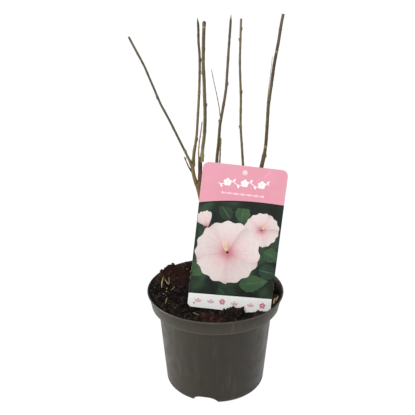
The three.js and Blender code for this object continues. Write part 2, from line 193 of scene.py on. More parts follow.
# The layer in which a mesh stores a colour for each point
TINT = "tint"


def mesh_from(name, points, faces):
    """A mesh from points in millimetres."""
    mesh = bpy.data.meshes.new(name)
    mesh.from_pydata((np.asarray(points, float) * MM).tolist(), [], faces)
    mesh.validate()
    return mesh


def object_from(mesh):
    made = bpy.data.objects.new(mesh.name, mesh)
    bpy.context.scene.collection.objects.link(made)
    return made


def outward_facing(made):
    """Turns all faces of a closed object outwards."""
    shell = bmesh.new()
    shell.from_mesh(made.data)
    bmesh.ops.recalc_face_normals(shell, faces=shell.faces)
    shell.to_mesh(made.data)
    shell.free()
    return made


def closed_object(name, shell):
    """An object from a closed shell of (points, faces)."""
    return outward_facing(object_from(mesh_from(name, *shell)))


def finish_piece(made, material, replaces=(), sharp_angle=None):
    """Gives a piece its material and its place in the frame."""
    mesh = made.data
    mesh.materials.clear()
    mesh.materials.append(material)
    mesh.shade_smooth()
    if sharp_angle is not None:
        mesh.set_sharp_from_angle(angle=math.radians(sharp_angle))
    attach(made, BODY)
    if replaces:
        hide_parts(*replaces)
    return made


def joined_piece(name, shells, material, replaces=(), sharp_angle=None):
    """One piece from closed shells of (points, faces), or of (points, faces, a colour for each point)."""
    made = object_from(mesh_from(name, *join_shells(shells)))
    colours = [colour for shell in shells for colour in shell[2:]]
    if colours:
        tint(made.data, np.concatenate(colours))
    return finish_piece(outward_facing(made), material, replaces, sharp_angle)


def join_shells(shells):
    """Points and faces of several shells as one."""
    points, faces, start = [], [], 0
    for shell_points, shell_faces, *_ in shells:
        points.append(shell_points)
        faces.extend([[i + start for i in face] for face in shell_faces])
        start += len(shell_points)
    return np.concatenate(points), faces


def tint(mesh, colours):
    """Stores a linear colour for each point, for the material to read."""
    layer = mesh.color_attributes.new(TINT, "FLOAT_COLOR", "POINT")
    values = np.ones((len(mesh.vertices), 4), np.float32)
    values[:, :3] = colours
    layer.data.foreach_set("color", values.ravel())


def boolean(target, other, operation):
    """Cuts or joins two closed objects, and removes the second."""
    step = target.modifiers.new("step", "BOOLEAN")
    step.solver = "MANIFOLD"
    step.operation = operation
    step.object = other
    apply_modifiers(target)
    bpy.data.objects.remove(other)
    return target


def apply_modifiers(made):
    """Gives an object the mesh that its modifiers make."""
    graph = bpy.context.evaluated_depsgraph_get()
    result = bpy.data.meshes.new_from_object(made.evaluated_get(graph))
    made.modifiers.clear()
    made.data = result


def grid_faces(rows, columns, closed=True):
    """Quads between rows of points, each row joined to the next, and round on itself if closed."""
    faces = []
    for row in range(rows - 1):
        for column in range(columns if closed else columns - 1):
            across = (column + 1) % columns
            faces.append([
                row * columns + column,
                row * columns + across,
                (row + 1) * columns + across,
                (row + 1) * columns + column,
            ])
    return faces


def tube_shell(rings):
    """A closed tube from rings of points (rows, sides, 3), with a flat face over each end."""
    rows, sides = rings.shape[:2]
    first = list(range(sides))
    last = list(range((rows - 1) * sides, rows * sides))
    return rings.reshape(-1, 3), grid_faces(rows, sides) + [first[::-1], last]


def rings_round(line, side, front, radius, turn):
    """A ring of points round each point of a line, with a radius for each point of the ring."""
    ring = side[:, None] * np.cos(turn)[None, :, None] + front[:, None] * np.sin(turn)[None, :, None]
    return line[:, None] + ring * radius[..., None]


def turned(name, outline, segments):
    """A solid of revolution from an outline of (radius, height) that starts and ends on the axis."""
    loop = np.array(outline[1:-1])
    turn = full_turn(segments)
    x = loop[:, :1] * np.cos(turn)
    y = loop[:, :1] * np.sin(turn)
    z = np.repeat(loop[:, 1:], segments, axis=1)
    points = np.stack([x, y, z], axis=-1).reshape(-1, 3)
    foot, top = len(points), len(points) + 1
    points = np.vstack([points, [0, 0, outline[0][1]], [0, 0, outline[-1][1]]])
    faces = grid_faces(len(loop), segments)
    last = (len(loop) - 1) * segments
    for i in range(segments):
        after = (i + 1) % segments
        faces.append([foot, after, i])
        faces.append([top, last + i, last + after])
    return closed_object(name, (points, faces))


# Materials

# Where a mix node for colours has its two colours and its result
MIX_FIRST = 6
MIX_SECOND = 7
MIX_RESULT = 2


class Painter:
    """Builds one node material. Coordinates are the object's own, in metres."""

    def __init__(self, name, specular):
        self.material = bpy.data.materials.new(name)
        self.material.use_nodes = True
        self.tree = self.material.node_tree
        self.shader = self.tree.nodes["Principled BSDF"]
        self.shader.inputs["Specular IOR Level"].default_value = specular
        self.place = self.node("ShaderNodeTexCoord").outputs["Object"]

    def node(self, kind, **settings):
        made = self.tree.nodes.new(kind)
        for key, value in settings.items():
            setattr(made, key, value)
        return made

    def link(self, source, target):
        self.tree.links.new(source, target)

    def feed(self, value, target):
        """Links a socket to an input, or sets the input to a number or a colour."""
        if isinstance(value, bpy.types.NodeSocket):
            self.link(value, target)
        elif isinstance(value, (int, float)):
            target.default_value = value
        else:
            target.default_value = (*value, 1)

    def scaled_place(self, scale):
        mapping = self.node("ShaderNodeMapping")
        mapping.inputs["Scale"].default_value = scale
        self.link(self.place, mapping.inputs["Vector"])
        return mapping.outputs["Vector"]

    def noise(self, size, detail, roughness=0.6, stretch=(1, 1, 1), distortion=0):
        """Noise with features about size millimetres wide."""
        texture = self.node("ShaderNodeTexNoise")
        scale = 1 / (size * MM)
        self.link(self.scaled_place([scale * s for s in stretch]), texture.inputs["Vector"])
        texture.inputs["Scale"].default_value = 1
        texture.inputs["Detail"].default_value = detail
        texture.inputs["Roughness"].default_value = roughness
        texture.inputs["Distortion"].default_value = distortion
        return texture.outputs["Fac"]

    def ramp(self, factor, stops):
        """A colour for a factor, from stops of (place, colour)."""
        made = self.node("ShaderNodeValToRGB")
        elements = made.color_ramp.elements
        while len(elements) < len(stops):
            elements.new(0.5)
        for element, (position, colour) in zip(elements, stops):
            element.position = position
            element.color = (*colour, 1)
        self.link(factor, made.inputs["Fac"])
        return made.outputs["Color"]

    def tones(self, factor, stops):
        """A colour for a factor, from stops of (place, colour as it looks on a screen)."""
        return self.ramp(factor, [(place, srgb(*colour)) for place, colour in stops])

    def mix(self, factor, first, second, blend="MIX"):
        """Mixes two colours. Each input is a socket or a constant."""
        made = self.node("ShaderNodeMix", data_type="RGBA", blend_type=blend)
        self.feed(factor, made.inputs["Factor"])
        self.feed(first, made.inputs[MIX_FIRST])
        self.feed(second, made.inputs[MIX_SECOND])
        return made.outputs[MIX_RESULT]

    def maths(self, operation, *values):
        made = self.node("ShaderNodeMath", operation=operation)
        for value, target in zip(values, made.inputs):
            self.feed(value, target)
        return made.outputs["Value"]

    def remap(self, value, low, high, new_low, new_high):
        """Moves a value smoothly from one span to another."""
        made = self.node("ShaderNodeMapRange", interpolation_type="SMOOTHSTEP")
        self.link(value, made.inputs["Value"])
        made.inputs["From Min"].default_value = low
        made.inputs["From Max"].default_value = high
        made.inputs["To Min"].default_value = new_low
        made.inputs["To Max"].default_value = new_high
        return made.outputs["Result"]

    def fade(self, length, start, end, at_start, at_end):
        """A share that changes smoothly as a length goes from start to end, in millimetres."""
        return self.remap(length, start * MM, end * MM, at_start, at_end)

    def specks(self, size, span, share):
        """Specks where fine noise is high, as a mask up to a share."""
        return self.remap(self.noise(size, detail=2), *span, 0, share)

    def own_tint(self):
        """The colour that the mesh stores for each point."""
        return self.node("ShaderNodeVertexColor", layer_name=TINT).outputs["Color"]

    def distance(self, middle):
        """The distance from a place in millimetres."""
        away = self.node("ShaderNodeVectorMath", operation="DISTANCE")
        self.link(self.place, away.inputs[0])
        away.inputs[1].default_value = [c * MM for c in middle]
        return away.outputs["Value"]

    def colour(self, value):
        self.feed(value, self.shader.inputs["Base Color"])

    def rough(self, value):
        self.feed(value, self.shader.inputs["Roughness"])

    def relief(self, height, depth):
        """Bump whose full height is depth millimetres."""
        made = self.node("ShaderNodeBump")
        made.inputs["Distance"].default_value = depth * MM
        self.link(height, made.inputs["Height"])
        self.link(made.outputs["Normal"], self.shader.inputs["Normal"])


# The pot's plastic, and the marks, painted highlights, painted reflection and painted shade on it, as they
# look on a screen
PLASTIC_TONES = ((0.3, (35, 29, 19)), (0.7, (40, 35, 24)))
DUST = srgb(90, 82, 64)
# Painted reflection on the collar, lightest at its foot
COLLAR_PAINTED_REFLECTION = srgb(84, 77, 61)
# Painted shade on the wall under the collar's shelf
SHELF_PAINTED_SHADE = srgb(22, 19, 14)
# Painted highlight on the collar's foot edge and the lip's crest
PAINTED_EDGE_HIGHLIGHT = srgb(116, 111, 98)
DRIP_STAIN = srgb(84, 66, 50)
# Painted shade inside the lip
LIP_PAINTED_SHADE = srgb(19, 15, 12)

# How much each mark, painted highlight, painted reflection and painted shade covers at most
DUST_SHARE = 0.16
COLLAR_REFLECTION_SHARES = (0.16, 0.02)
SHELF_SHADE_SHARE = 0.5
FOOT_EDGE_HIGHLIGHT_SHARE = 0.2
CREST_HIGHLIGHT_SHARE = 0.3
DRIP_SHARE = 0.4
LIP_SHADE_SHARE = 0.94

# Widths of the streaks, dust, scuffs and grain, and how much the first two are drawn out upwards
STREAK_WIDTH = 9
STREAK_STRETCH = (1, 1, 0.06)
DUST_WIDTH = 12
DUST_STRETCH = (1, 1, 0.2)
DUST_SPAN = (0.5, 0.75)
SCUFF_WIDTH = 14
PLASTIC_GRAIN = 1.1
PLASTIC_RELIEF = 0.03

# The painted highlights on the collar's foot edge and on the crest, the painted shade under the collar,
# and the foot's scuffs
FOOT_EDGE_HIGHLIGHT = (2.4, 0.3)
CREST_HIGHLIGHT = 1.8
SHELF_SHADE_DEPTH = 7
FOOT_SCUFFS = 18
FOOT_ROUGHNESS = 0.3
PLASTIC_ROUGHNESS = (0.36, 0.5)

# Where the painted shade inside the lip ends, and how far a surface faces the axis where it is painted
# dark
LIP_SHADE_RADIUS = (92.4, 92.9)
LIP_SHADE_FACING = (0.12, 0.3)

# The dried drip
DRIP_AZIMUTH = math.radians(-75.2)
DRIP_HALF_WIDTH = 0.04
DRIP_WANDER = 0.06
DRIP_WANDER_WIDTH = 6
DRIP_SPAN = (116, 130)


def pot_material():
    """Dark moulded plastic: upright streaks of dust, a dried drip, painted highlights on its edges, a
    painted reflection on the collar, and painted shade under the shelf and inside the lip.
    """
    paint = Painter("pot_plastic", specular=0.35)
    azimuth, radius, height = round_place(paint)
    look = dusty_plastic(paint)
    look = collar_reflection_and_shade(paint, look, height)
    look = painted_edge_highlights(paint, look, radius, height)
    look = paint.mix(drip_mask(paint, azimuth, height), look, DRIP_STAIN)
    look = paint.mix(lip_shade_mask(paint, radius), look, LIP_PAINTED_SHADE)
    paint.colour(look)
    paint.rough(scuffs(paint, height))
    paint.relief(paint.noise(PLASTIC_GRAIN, detail=3), PLASTIC_RELIEF)
    return paint.material


def round_place(paint):
    """The azimuth, the distance from the pot's axis and the height, as sockets."""
    split = paint.node("ShaderNodeSeparateXYZ")
    paint.link(paint.place, split.inputs["Vector"])
    x, y, z = (split.outputs[axis] for axis in "XYZ")
    radius = paint.maths("SQRT", paint.maths("MULTIPLY_ADD", x, x, paint.maths("MULTIPLY", y, y)))
    return paint.maths("ARCTAN2", y, x), radius, z


def dusty_plastic(paint):
    """The plastic with its upright streaks, under patches of dust."""
    streaks = paint.noise(STREAK_WIDTH, detail=3, stretch=STREAK_STRETCH)
    patches = paint.noise(DUST_WIDTH, detail=5, stretch=DUST_STRETCH)
    share = paint.remap(patches, *DUST_SPAN, 0, DUST_SHARE)
    return paint.mix(share, paint.tones(streaks, PLASTIC_TONES), DUST)


def collar_reflection_and_shade(paint, colour, height):
    """A painted reflection that lightens the collar most at its foot and thins out up it, and painted
    shade on the wall under its shelf.
    """
    above = paint.fade(height, SHELF_HEIGHT - 1, SHELF_HEIGHT, 0, 1)
    collar_reflection = paint.fade(height, SHELF_HEIGHT, POT_HEIGHT, *COLLAR_REFLECTION_SHARES)
    colour = paint.mix(paint.maths("MULTIPLY", above, collar_reflection), colour, COLLAR_PAINTED_REFLECTION)
    below = paint.fade(height, SHELF_HEIGHT - SHELF_SHADE_DEPTH, SHELF_HEIGHT, 0, SHELF_SHADE_SHARE)
    under_shelf_shade = paint.maths("MAXIMUM", paint.maths("SUBTRACT", below, above), 0)
    return paint.mix(under_shelf_shade, colour, SHELF_PAINTED_SHADE)


def painted_edge_highlights(paint, colour, radius, height):
    """Painted highlights on the collar's foot edge and on the lip's crest."""
    edge = paint.fade(height, SHELF_HEIGHT + FOOT_EDGE_HIGHLIGHT[0], SHELF_HEIGHT + FOOT_EDGE_HIGHLIGHT[1], 0, 1)
    outside = paint.fade(radius, BODY_TOP_RADIUS, COLLAR_FOOT_RADIUS, 0, FOOT_EDGE_HIGHLIGHT_SHARE)
    crest = paint.fade(height, POT_HEIGHT - CREST_HIGHLIGHT, POT_HEIGHT, 0, CREST_HIGHLIGHT_SHARE)
    edge_highlight = paint.maths("MAXIMUM", crest, paint.maths("MULTIPLY", edge, outside))
    return paint.mix(edge_highlight, colour, PAINTED_EDGE_HIGHLIGHT)


def drip_mask(paint, azimuth, height):
    """A narrow upright stain that wanders a little and fades out below the collar."""
    sway = paint.noise(DRIP_WANDER_WIDTH, detail=2)
    wander = paint.maths("MULTIPLY_ADD", sway, DRIP_WANDER, -DRIP_WANDER / 2)
    azimuth = paint.maths("ADD", azimuth, wander)
    off_drip = paint.maths("ABSOLUTE", paint.maths("SUBTRACT", azimuth, DRIP_AZIMUTH))
    drip = paint.remap(off_drip, 0, DRIP_HALF_WIDTH, 1, 0)
    return paint.maths("MULTIPLY", drip, paint.fade(height, *DRIP_SPAN, 0, DRIP_SHARE))


def lip_shade_mask(paint, radius):
    """Painted shade inside the wall, up to just under the lip's edge."""
    inside = paint.remap(inward_facing(paint), *LIP_SHADE_FACING, 0, LIP_SHADE_SHARE)
    return paint.maths("MULTIPLY", inside, paint.fade(radius, *LIP_SHADE_RADIUS, 1, 0))


def inward_facing(paint):
    """How much a surface faces the pot's axis, from -1 to 1."""
    flat = paint.node("ShaderNodeVectorMath", operation="MULTIPLY")
    paint.link(paint.place, flat.inputs[0])
    flat.inputs[1].default_value = (-1, -1, 0)
    inward = paint.node("ShaderNodeVectorMath", operation="NORMALIZE")
    paint.link(flat.outputs["Vector"], inward.inputs[0])
    facing = paint.node("ShaderNodeVectorMath", operation="DOT_PRODUCT")
    paint.link(inward.outputs["Vector"], facing.inputs[0])
    paint.link(paint.node("ShaderNodeTexCoord").outputs["Normal"], facing.inputs[1])
    return facing.outputs["Value"]


def scuffs(paint, height):
    """The plastic's roughness: uneven all over, and higher at the pot's foot."""
    foot = paint.fade(height, 0, FOOT_SCUFFS, FOOT_ROUGHNESS, 0)
    uneven = paint.remap(paint.noise(SCUFF_WIDTH, detail=6), 0.3, 0.7, *PLASTIC_ROUGHNESS)
    return paint.maths("ADD", foot, uneven)


# Peat's tones, its specks, and the width and depth of its grain
PEAT_TONES = ((0.35, (6, 5, 5)), (0.52, (15, 12, 11)), (0.68, (34, 26, 22)))
PEAT_PATCH = 9
PEAT_ROUGHNESS = 0.85
SPECK_TONE = srgb(54, 42, 36)
SPECK_WIDTH = 1.6
SPECK_SPAN = (0.62, 0.72)
SPECK_SHARE = 0.6
PEAT_GRAIN = 1.2
PEAT_RELIEF = 0.8


def soil_material():
    """Moist peat: nearly black, with lighter specks and brown patches."""
    paint = Painter("peat", specular=0.12)
    paint.rough(PEAT_ROUGHNESS)
    peat = paint.tones(paint.noise(PEAT_PATCH, detail=6), PEAT_TONES)
    speckled = paint.mix(paint.specks(SPECK_WIDTH, SPECK_SPAN, SPECK_SHARE), peat, SPECK_TONE)
    paint.colour(brown_patches(paint, speckled))
    paint.relief(paint.noise(PEAT_GRAIN, detail=6), PEAT_RELIEF)
    return paint.material


# Where drier, browner bark lies: the middle of each patch, and how far out it starts to fade and ends
BROWN_PATCHES = (
    ((-68, 52, 142), 20, 40),
    ((-8, -66, 136), 8, 30),
    ((30, -50, 150), 3, 14),
    ((58, -57, 145), 4, 14),
)
PATCH_BROWN = srgb(68, 40, 31)
PATCH_SHARE = 0.5


def brown_patches(paint, colour):
    """The soil's colour with the brown patches mixed in."""
    for middle, near, far in BROWN_PATCHES:
        share = paint.fade(paint.distance(middle), near, far, PATCH_SHARE, 0)
        colour = paint.mix(share, colour, PATCH_BROWN)
    return colour


LOOSE_ROUGHNESS = 0.8
LOOSE_RELIEF = 0.3


def loose_material(name, dark, light, patch):
    """Rough loose stuff on the soil, whose colour wanders between two tones."""
    paint = Painter(name, specular=0.15)
    paint.rough(LOOSE_ROUGHNESS)
    tones = paint.tones(paint.noise(patch, detail=5), [(0.34, dark), (0.66, light)])
    paint.colour(brown_patches(paint, tones))
    paint.relief(paint.noise(patch / 2, detail=5), LOOSE_RELIEF)
    return paint.material


# Bark's grain: how dark and light it makes the bark, and how much it is drawn out along a limb
BARK_GRAIN = ((0.3, (0.62, 0.6, 0.53)), (0.7, (1.06, 1.03, 0.94)))
BARK_STRETCH = (1, 1, 0.16)
BARK_ROUGHNESS = 0.78
BARK_SPECK = srgb(156, 144, 114)
BARK_SPECK_WIDTH = 0.9
BARK_SPECK_SPAN = (0.66, 0.74)
BARK_SPECK_SHARE = 0.45
RIDGE_STRETCH = (1, 1, 0.3)
RIDGE_WIDTH = 0.4
RIDGE_RELIEF = 0.12
OLD_GRAIN = 2.2
YOUNG_GRAIN = 1.6
BUD_GRAIN = 0.8


def bark_material(name, grain_width):
    """Bark that takes its colour from the mesh, with fine lengthwise grain and small specks."""
    paint = Painter(name, specular=0.2)
    paint.rough(BARK_ROUGHNESS)
    grain = paint.ramp(paint.noise(grain_width, detail=6, stretch=BARK_STRETCH), BARK_GRAIN)
    bark = paint.mix(1.0, paint.own_tint(), grain, "MULTIPLY")
    specks = paint.specks(BARK_SPECK_WIDTH, BARK_SPECK_SPAN, BARK_SPECK_SHARE)
    paint.colour(paint.mix(specks, bark, BARK_SPECK))
    ridges = paint.noise(grain_width * RIDGE_WIDTH, detail=6, stretch=RIDGE_STRETCH)
    paint.relief(ridges, RIDGE_RELIEF)
    return paint.material


PRINT_ROUGHNESS = 0.55
CARD_GRAIN = 0.8
CARD_RELIEF = 0.01


def print_painter(name):
    """Starts the material of printed card, with its low gloss."""
    paint = Painter(name, specular=0.25)
    paint.rough(PRINT_ROUGHNESS)
    return paint


def ink_material(name, dark, light, patch):
    """Printed card in one ink that is slightly uneven."""
    paint = print_painter(name)
    paint.colour(paint.tones(paint.noise(patch, detail=4), [(0.3, dark), (0.7, light)]))
    paint.relief(paint.noise(CARD_GRAIN, detail=2), CARD_RELIEF)
    return paint.material


PICTURE_GREENS = ((0.3, (13, 16, 14)), (0.5, (24, 38, 28)), (0.7, (50, 74, 52)))
PICTURE_BLUR = 34


def picture_material():
    """The picture's ground: out-of-focus dark greens."""
    paint = print_painter("picture_green")
    blur = paint.noise(PICTURE_BLUR, detail=1, roughness=0.4, distortion=0.6)
    paint.colour(paint.tones(blur, PICTURE_GREENS))
    paint.relief(paint.noise(CARD_GRAIN, detail=2), CARD_RELIEF)
    return paint.material


# How dark and light the petals' ink makes their own colours, and the width of its patches
PETAL_INK = ((0.3, (0.94, 0.93, 0.93)), (0.7, (1.03, 1.02, 1.02)))
PETAL_INK_PATCH = 5


def petal_material():
    """Printed card whose ink colour comes from the mesh."""
    paint = print_painter("petal_print")
    shade = paint.ramp(paint.noise(PETAL_INK_PATCH, detail=4), PETAL_INK)
    paint.colour(paint.mix(1.0, paint.own_tint(), shade, "MULTIPLY"))
    return paint.material


# Pot

# How many steps the rounded corners, the rounded edges and the lip's flare and bead are made in
CORNER_STEPS = 16
EDGE_STEPS = 4
FLARE_STEPS = 14


def corner_arc(inset):
    """The rounded corner from the pot's underside to its wall."""
    centre = (BODY_FOOT_RADIUS - CORNER_RADIUS, CORNER_RADIUS)
    radius = CORNER_RADIUS - inset
    turns = [math.pi / 2 * i / CORNER_STEPS for i in range(CORNER_STEPS + 1)]
    return [(centre[0] + radius * math.sin(t), centre[1] - radius * math.cos(t)) for t in turns]


def rounded_edge(before, corner, after):
    """The points that round an edge of the wall."""
    corner = np.array(corner, float)
    start = corner + EDGE_ROUNDING * unit(np.array(before) - corner)
    end = corner + EDGE_ROUNDING * unit(np.array(after) - corner)
    shares = np.linspace(0, 1, EDGE_STEPS + 1)[:, None]
    curve = (1 - shares) ** 2 * start + 2 * shares * (1 - shares) * corner + shares**2 * end
    return [tuple(p) for p in curve]


def wall_line(inset):
    """The pot's outer surface set in by a distance, from the axis at its foot up to the flared lip."""
    foot = (BODY_FOOT_RADIUS - inset, CORNER_RADIUS)
    body_top = (BODY_TOP_RADIUS - inset, SHELF_HEIGHT + inset)
    collar_foot = (COLLAR_FOOT_RADIUS - inset, SHELF_HEIGHT + inset)
    collar_top = (COLLAR_TOP_RADIUS - inset, COLLAR_TOP_HEIGHT)
    line = [(0, inset)] + corner_arc(inset)
    line += rounded_edge(foot, body_top, collar_foot)
    line += rounded_edge(body_top, collar_foot, collar_top)
    for i in range(FLARE_STEPS + 1):
        turn = LIP_FLARE_END * i / FLARE_STEPS
        line.append((
            LIP_RADIUS - (LIP_RADIUS - COLLAR_TOP_RADIUS + inset) * math.cos(turn),
            COLLAR_TOP_HEIGHT + (LIP_FLARE_HEIGHT + inset) * math.sin(turn),
        ))
    return line


def lip_line(inset):
    """The part of the wall's line above the collar."""
    return np.array([point for point in wall_line(inset) if point[1] > COLLAR_TOP_HEIGHT])


def bead_line():
    """The rounded bead along the lip's edge, from its underside over its top."""
    turns = [within(BEAD_TURN, i / FLARE_STEPS) for i in range(FLARE_STEPS + 1)]
    return [
        (
            LIP_RADIUS - BEAD_RADIUS + BEAD_RADIUS * math.cos(t),
            POT_HEIGHT - BEAD_RADIUS + BEAD_RADIUS * math.sin(t),
        )
        for t in turns
    ]


def pocket_azimuths():
    return [FIRST_POCKET_AZIMUTH + 2 * math.pi * i / POCKET_COUNT for i in range(POCKET_COUNT)]


def pocket_space(azimuth, grow):
    """The arched space of one drainage pocket, grown outwards by a distance."""
    half_width = POCKET_HALF_WIDTH + grow
    height = POCKET_HEIGHT + grow
    arch = [(half_width, -POCKET_HEIGHT)]
    for i in range(POCKET_FACETS + 1):
        turn = math.pi * i / POCKET_FACETS
        across = math.copysign(abs(math.cos(turn)) ** POCKET_SQUARENESS, math.cos(turn))
        arch.append((half_width * across, height * abs(math.sin(turn)) ** POCKET_SQUARENESS))
    arch.append((-half_width, -POCKET_HEIGHT))
    outward = np.array([math.cos(azimuth), math.sin(azimuth), 0])
    tangent = np.array([-math.sin(azimuth), math.cos(azimuth), 0])
    up = np.array([0, 0, 1])
    rings = [
        [outward * radius + tangent * across + up * high for across, high in arch]
        for radius in (POCKET_INNER_RADIUS - grow, LIP_RADIUS)
    ]
    return closed_object("pocket", tube_shell(np.array(rings)))


def drain(azimuth):
    """The round space of one drainage hole."""
    turns = full_turn(POCKET_FACETS)
    x = DRAIN_CENTRE_RADIUS * math.cos(azimuth) + DRAIN_RADIUS * np.cos(turns)
    y = DRAIN_CENTRE_RADIUS * math.sin(azimuth) + DRAIN_RADIUS * np.sin(turns)
    rings = [
        np.column_stack([x, y, np.full(POCKET_FACETS, height)])
        for height in (-POCKET_HEIGHT, 3 * POCKET_HEIGHT)
    ]
    return closed_object("drain", tube_shell(np.array(rings)))


def make_pot():
    wall = wall_line(0) + bead_line() + wall_line(POT_WALL)[::-1]
    pot = turned("nursery_pot", wall, POT_SEGMENTS)
    filled = wall_line(0)[:-1] + [(LIP_RADIUS - BEAD_RADIUS, POT_HEIGHT), (0, POT_HEIGHT)]
    for azimuth in pocket_azimuths():
        solid = turned("filled", filled, POT_SEGMENTS)
        pocket = boolean(pocket_space(azimuth, POT_WALL), solid, "INTERSECT")
        pot = boolean(pot, pocket, "UNION")
    for azimuth in pocket_azimuths():
        pot = boolean(pot, pocket_space(azimuth, 0), "DIFFERENCE")
        pot = boolean(pot, drain(azimuth), "DIFFERENCE")
    return finish_piece(pot, pot_material(), ["pot"], sharp_angle=35)


# Soil


def soil_height(x, y, fine=True):
    """The height of the soil's surface: the part's rule, with finer grain over it."""
    from_axis = np.hypot(x, y)
    rise = SOIL_RISE_TO_BACK * y - SOIL_FALL_TO_RIGHT * x
    rise = rise + SOIL_RISE_TO_WALL * (from_axis / COLLAR_TOP_RADIUS) ** 4
    for i in range(LUMP_COUNT):
        distance = COLLAR_TOP_RADIUS * math.sqrt((i + 0.5) / LUMP_COUNT)
        azimuth = GOLDEN_ANGLE * i
        away = np.hypot(x - distance * math.cos(azimuth), y - distance * math.sin(azimuth))
        height = within(LUMP_HEIGHT, seeded(i + LUMP_SEEDS[0]))
        reach = within(LUMP_REACH, seeded(i + LUMP_SEEDS[1]))
        rise = rise + height * bump(away, reach)
    if fine:
        flat = np.stack([x, y, np.zeros_like(x)], axis=-1).reshape(-1, 3)
        for size, depth in SOIL_GRAIN:
            rise = rise + depth * noise(flat / size, seed=size).reshape(x.shape)
    rise = np.minimum(rise, SOIL_TOP_AT_RIM - SOIL_LEVEL)
    inside = 1 - smoothstep(from_axis, *HEAP_EDGE)
    for heap_x, heap_y, height, reach in HEAPS:
        rise = rise + inside * height * bump(np.hypot(x - heap_x, y - heap_y), reach)
    trunk_foot = TRUNK.foot
    from_trunk = np.hypot(x - trunk_foot[0], y - trunk_foot[1])
    open_ground = smoothstep(from_trunk, FOOT_PATCH_RADIUS, FOOT_PATCH_RADIUS + FOOT_PATCH_BLEND)
    return SOIL_LEVEL + rise * open_ground


def ground_at(x, y):
    return float(soil_height(np.array([x]), np.array([y]))[0])


# The top of the space that the soil may fill, well over its highest heap
SPACE_TOP = 170


def make_soil_bed():
    """The filled soil: the pot's inside, clear of the wall, under the uneven surface."""
    outside = LIP_RADIUS + GAP
    outline = [(0, -GAP), (outside, -GAP)]
    outline += [(outside * (1 - ring / SOIL_RINGS), SOIL_LEVEL) for ring in range(SOIL_RINGS + 1)]
    bed = turned("soil_bed", outline, SOIL_SEGMENTS)
    points = np.array([v.co for v in bed.data.vertices]) / MM
    top = points[:, 2] > 0
    points[top, 2] = soil_height(points[top, 0], points[top, 1])
    bed.data.vertices.foreach_set("co", (points * MM).ravel())
    lip = LIP_RADIUS - BEAD_RADIUS
    inside = wall_line(POT_WALL + GAP) + [(lip, POT_HEIGHT), (lip, SPACE_TOP), (0, SPACE_TOP)]
    space = turned("inside", inside, POT_SEGMENTS)
    for azimuth in pocket_azimuths():
        space = boolean(space, pocket_space(azimuth, POT_WALL + GAP), "DIFFERENCE")
    bed = boolean(bed, space, "INTERSECT")
    return finish_piece(bed, soil_material(), ["soil"])


# A stone's surface as (depth, how closely the bumps follow each other), and how wide it is for its length
STONE_SURFACE = ((0.42, 1.3), (0.22, 3))
STONE_WIDTH = (0.6, 1)
STONE_SHIFT = 50


def stone(rng, size, flat, detail):
    """An irregular lump: a sphere pulled about by noise, flattened and turned at random."""
    shell = bmesh.new()
    bmesh.ops.create_icosphere(shell, subdivisions=detail, radius=1)
    points = np.array([v.co for v in shell.verts])
    faces = [[v.index for v in f.verts] for f in shell.faces]
    shell.free()
    shift = rng.uniform(0, STONE_SHIFT, 3)
    pull = 1 + sum(depth * noise(points * rate + shift) for depth, rate in STONE_SURFACE)
    points *= pull[:, None]
    points *= size * np.array([1, rng.uniform(*STONE_WIDTH), flat])
    return points @ random_turn(rng).T, faces


def random_turn(rng, tilt=math.pi):
    """A random rotation whose lean from upright is at most tilt."""
    spin = Matrix.Rotation(rng.uniform(0, 2 * math.pi), 3, "Z")
    lean = Matrix.Rotation(rng.uniform(-tilt, tilt), 3, "X")
    again = Matrix.Rotation(rng.uniform(0, 2 * math.pi), 3, "Z")
    return np.array(again @ lean @ spin)


# A bark chip: its width and thickness as shares of its length, its section, its ends and its tilt
CHIP_WIDTH = (0.25, 0.5)
CHIP_THICKNESS = (0.1, 0.2)
CHIP_SECTION = ((-1, -0.6), (-0.8, 0.8), (0.7, 1), (1, -0.4), (0.1, -1))
CHIP_ROWS = 5
CHIP_PINCH = 0.45
CHIP_JAG = 0.12
CHIP_TILT = 0.35


def chip(rng, length):
    """A splinter of bark: a bevelled block with jagged ends."""
    width = length * rng.uniform(*CHIP_WIDTH)
    thick = length * rng.uniform(*CHIP_THICKNESS)
    points = []
    for along in np.linspace(-1, 1, CHIP_ROWS):
        pinch = 1 - CHIP_PINCH * along * along
        for across, high in CHIP_SECTION:
            jag = rng.uniform(-CHIP_JAG, CHIP_JAG, 3)
            points.append((
                length / 2 * (along + jag[0]),
                width / 2 * (across * pinch + jag[1]),
                thick / 2 * (high + jag[2]),
            ))
    points, faces = tube_shell(np.array(points).reshape(CHIP_ROWS, len(CHIP_SECTION), 3))
    return points @ random_turn(rng, CHIP_TILT).T, faces


# A strand's ends: how thin they are, and over what share of its length they taper
STRAND_END = 0.3
STRAND_TAPER = 0.25
ACROSS_STRAND = (0.3, 0.2, 1)


def strand(points, radius, sides):
    """A thin closed tube through points, with tapering ends."""
    points = np.asarray(points, float)
    count = len(points)
    along = unit(np.gradient(points, axis=0))
    side = unit(np.cross(along, ACROSS_STRAND))
    ends = np.minimum(np.arange(count), np.arange(count)[::-1]) / (count - 1)
    thick = radius * within((STRAND_END, 1), smoothstep(ends, 0, STRAND_TAPER))
    return tube_shell(rings_round(points, side, np.cross(along, side), thick[:, None], full_turn(sides)))


CLEAR_OF_TRUNK = 9


def scatter(rng, count):
    """Random places on the soil's surface, clear of the trunk's foot."""
    found = []
    while len(found) < count:
        radius = COLLAR_TOP_RADIUS * math.sqrt(rng.uniform())
        azimuth = rng.uniform(0, 2 * math.pi)
        place = radius * math.cos(azimuth), radius * math.sin(azimuth)
        if math.dist(place, TRUNK.foot[:2]) > CLEAR_OF_TRUNK:
            found.append(place)
    return found


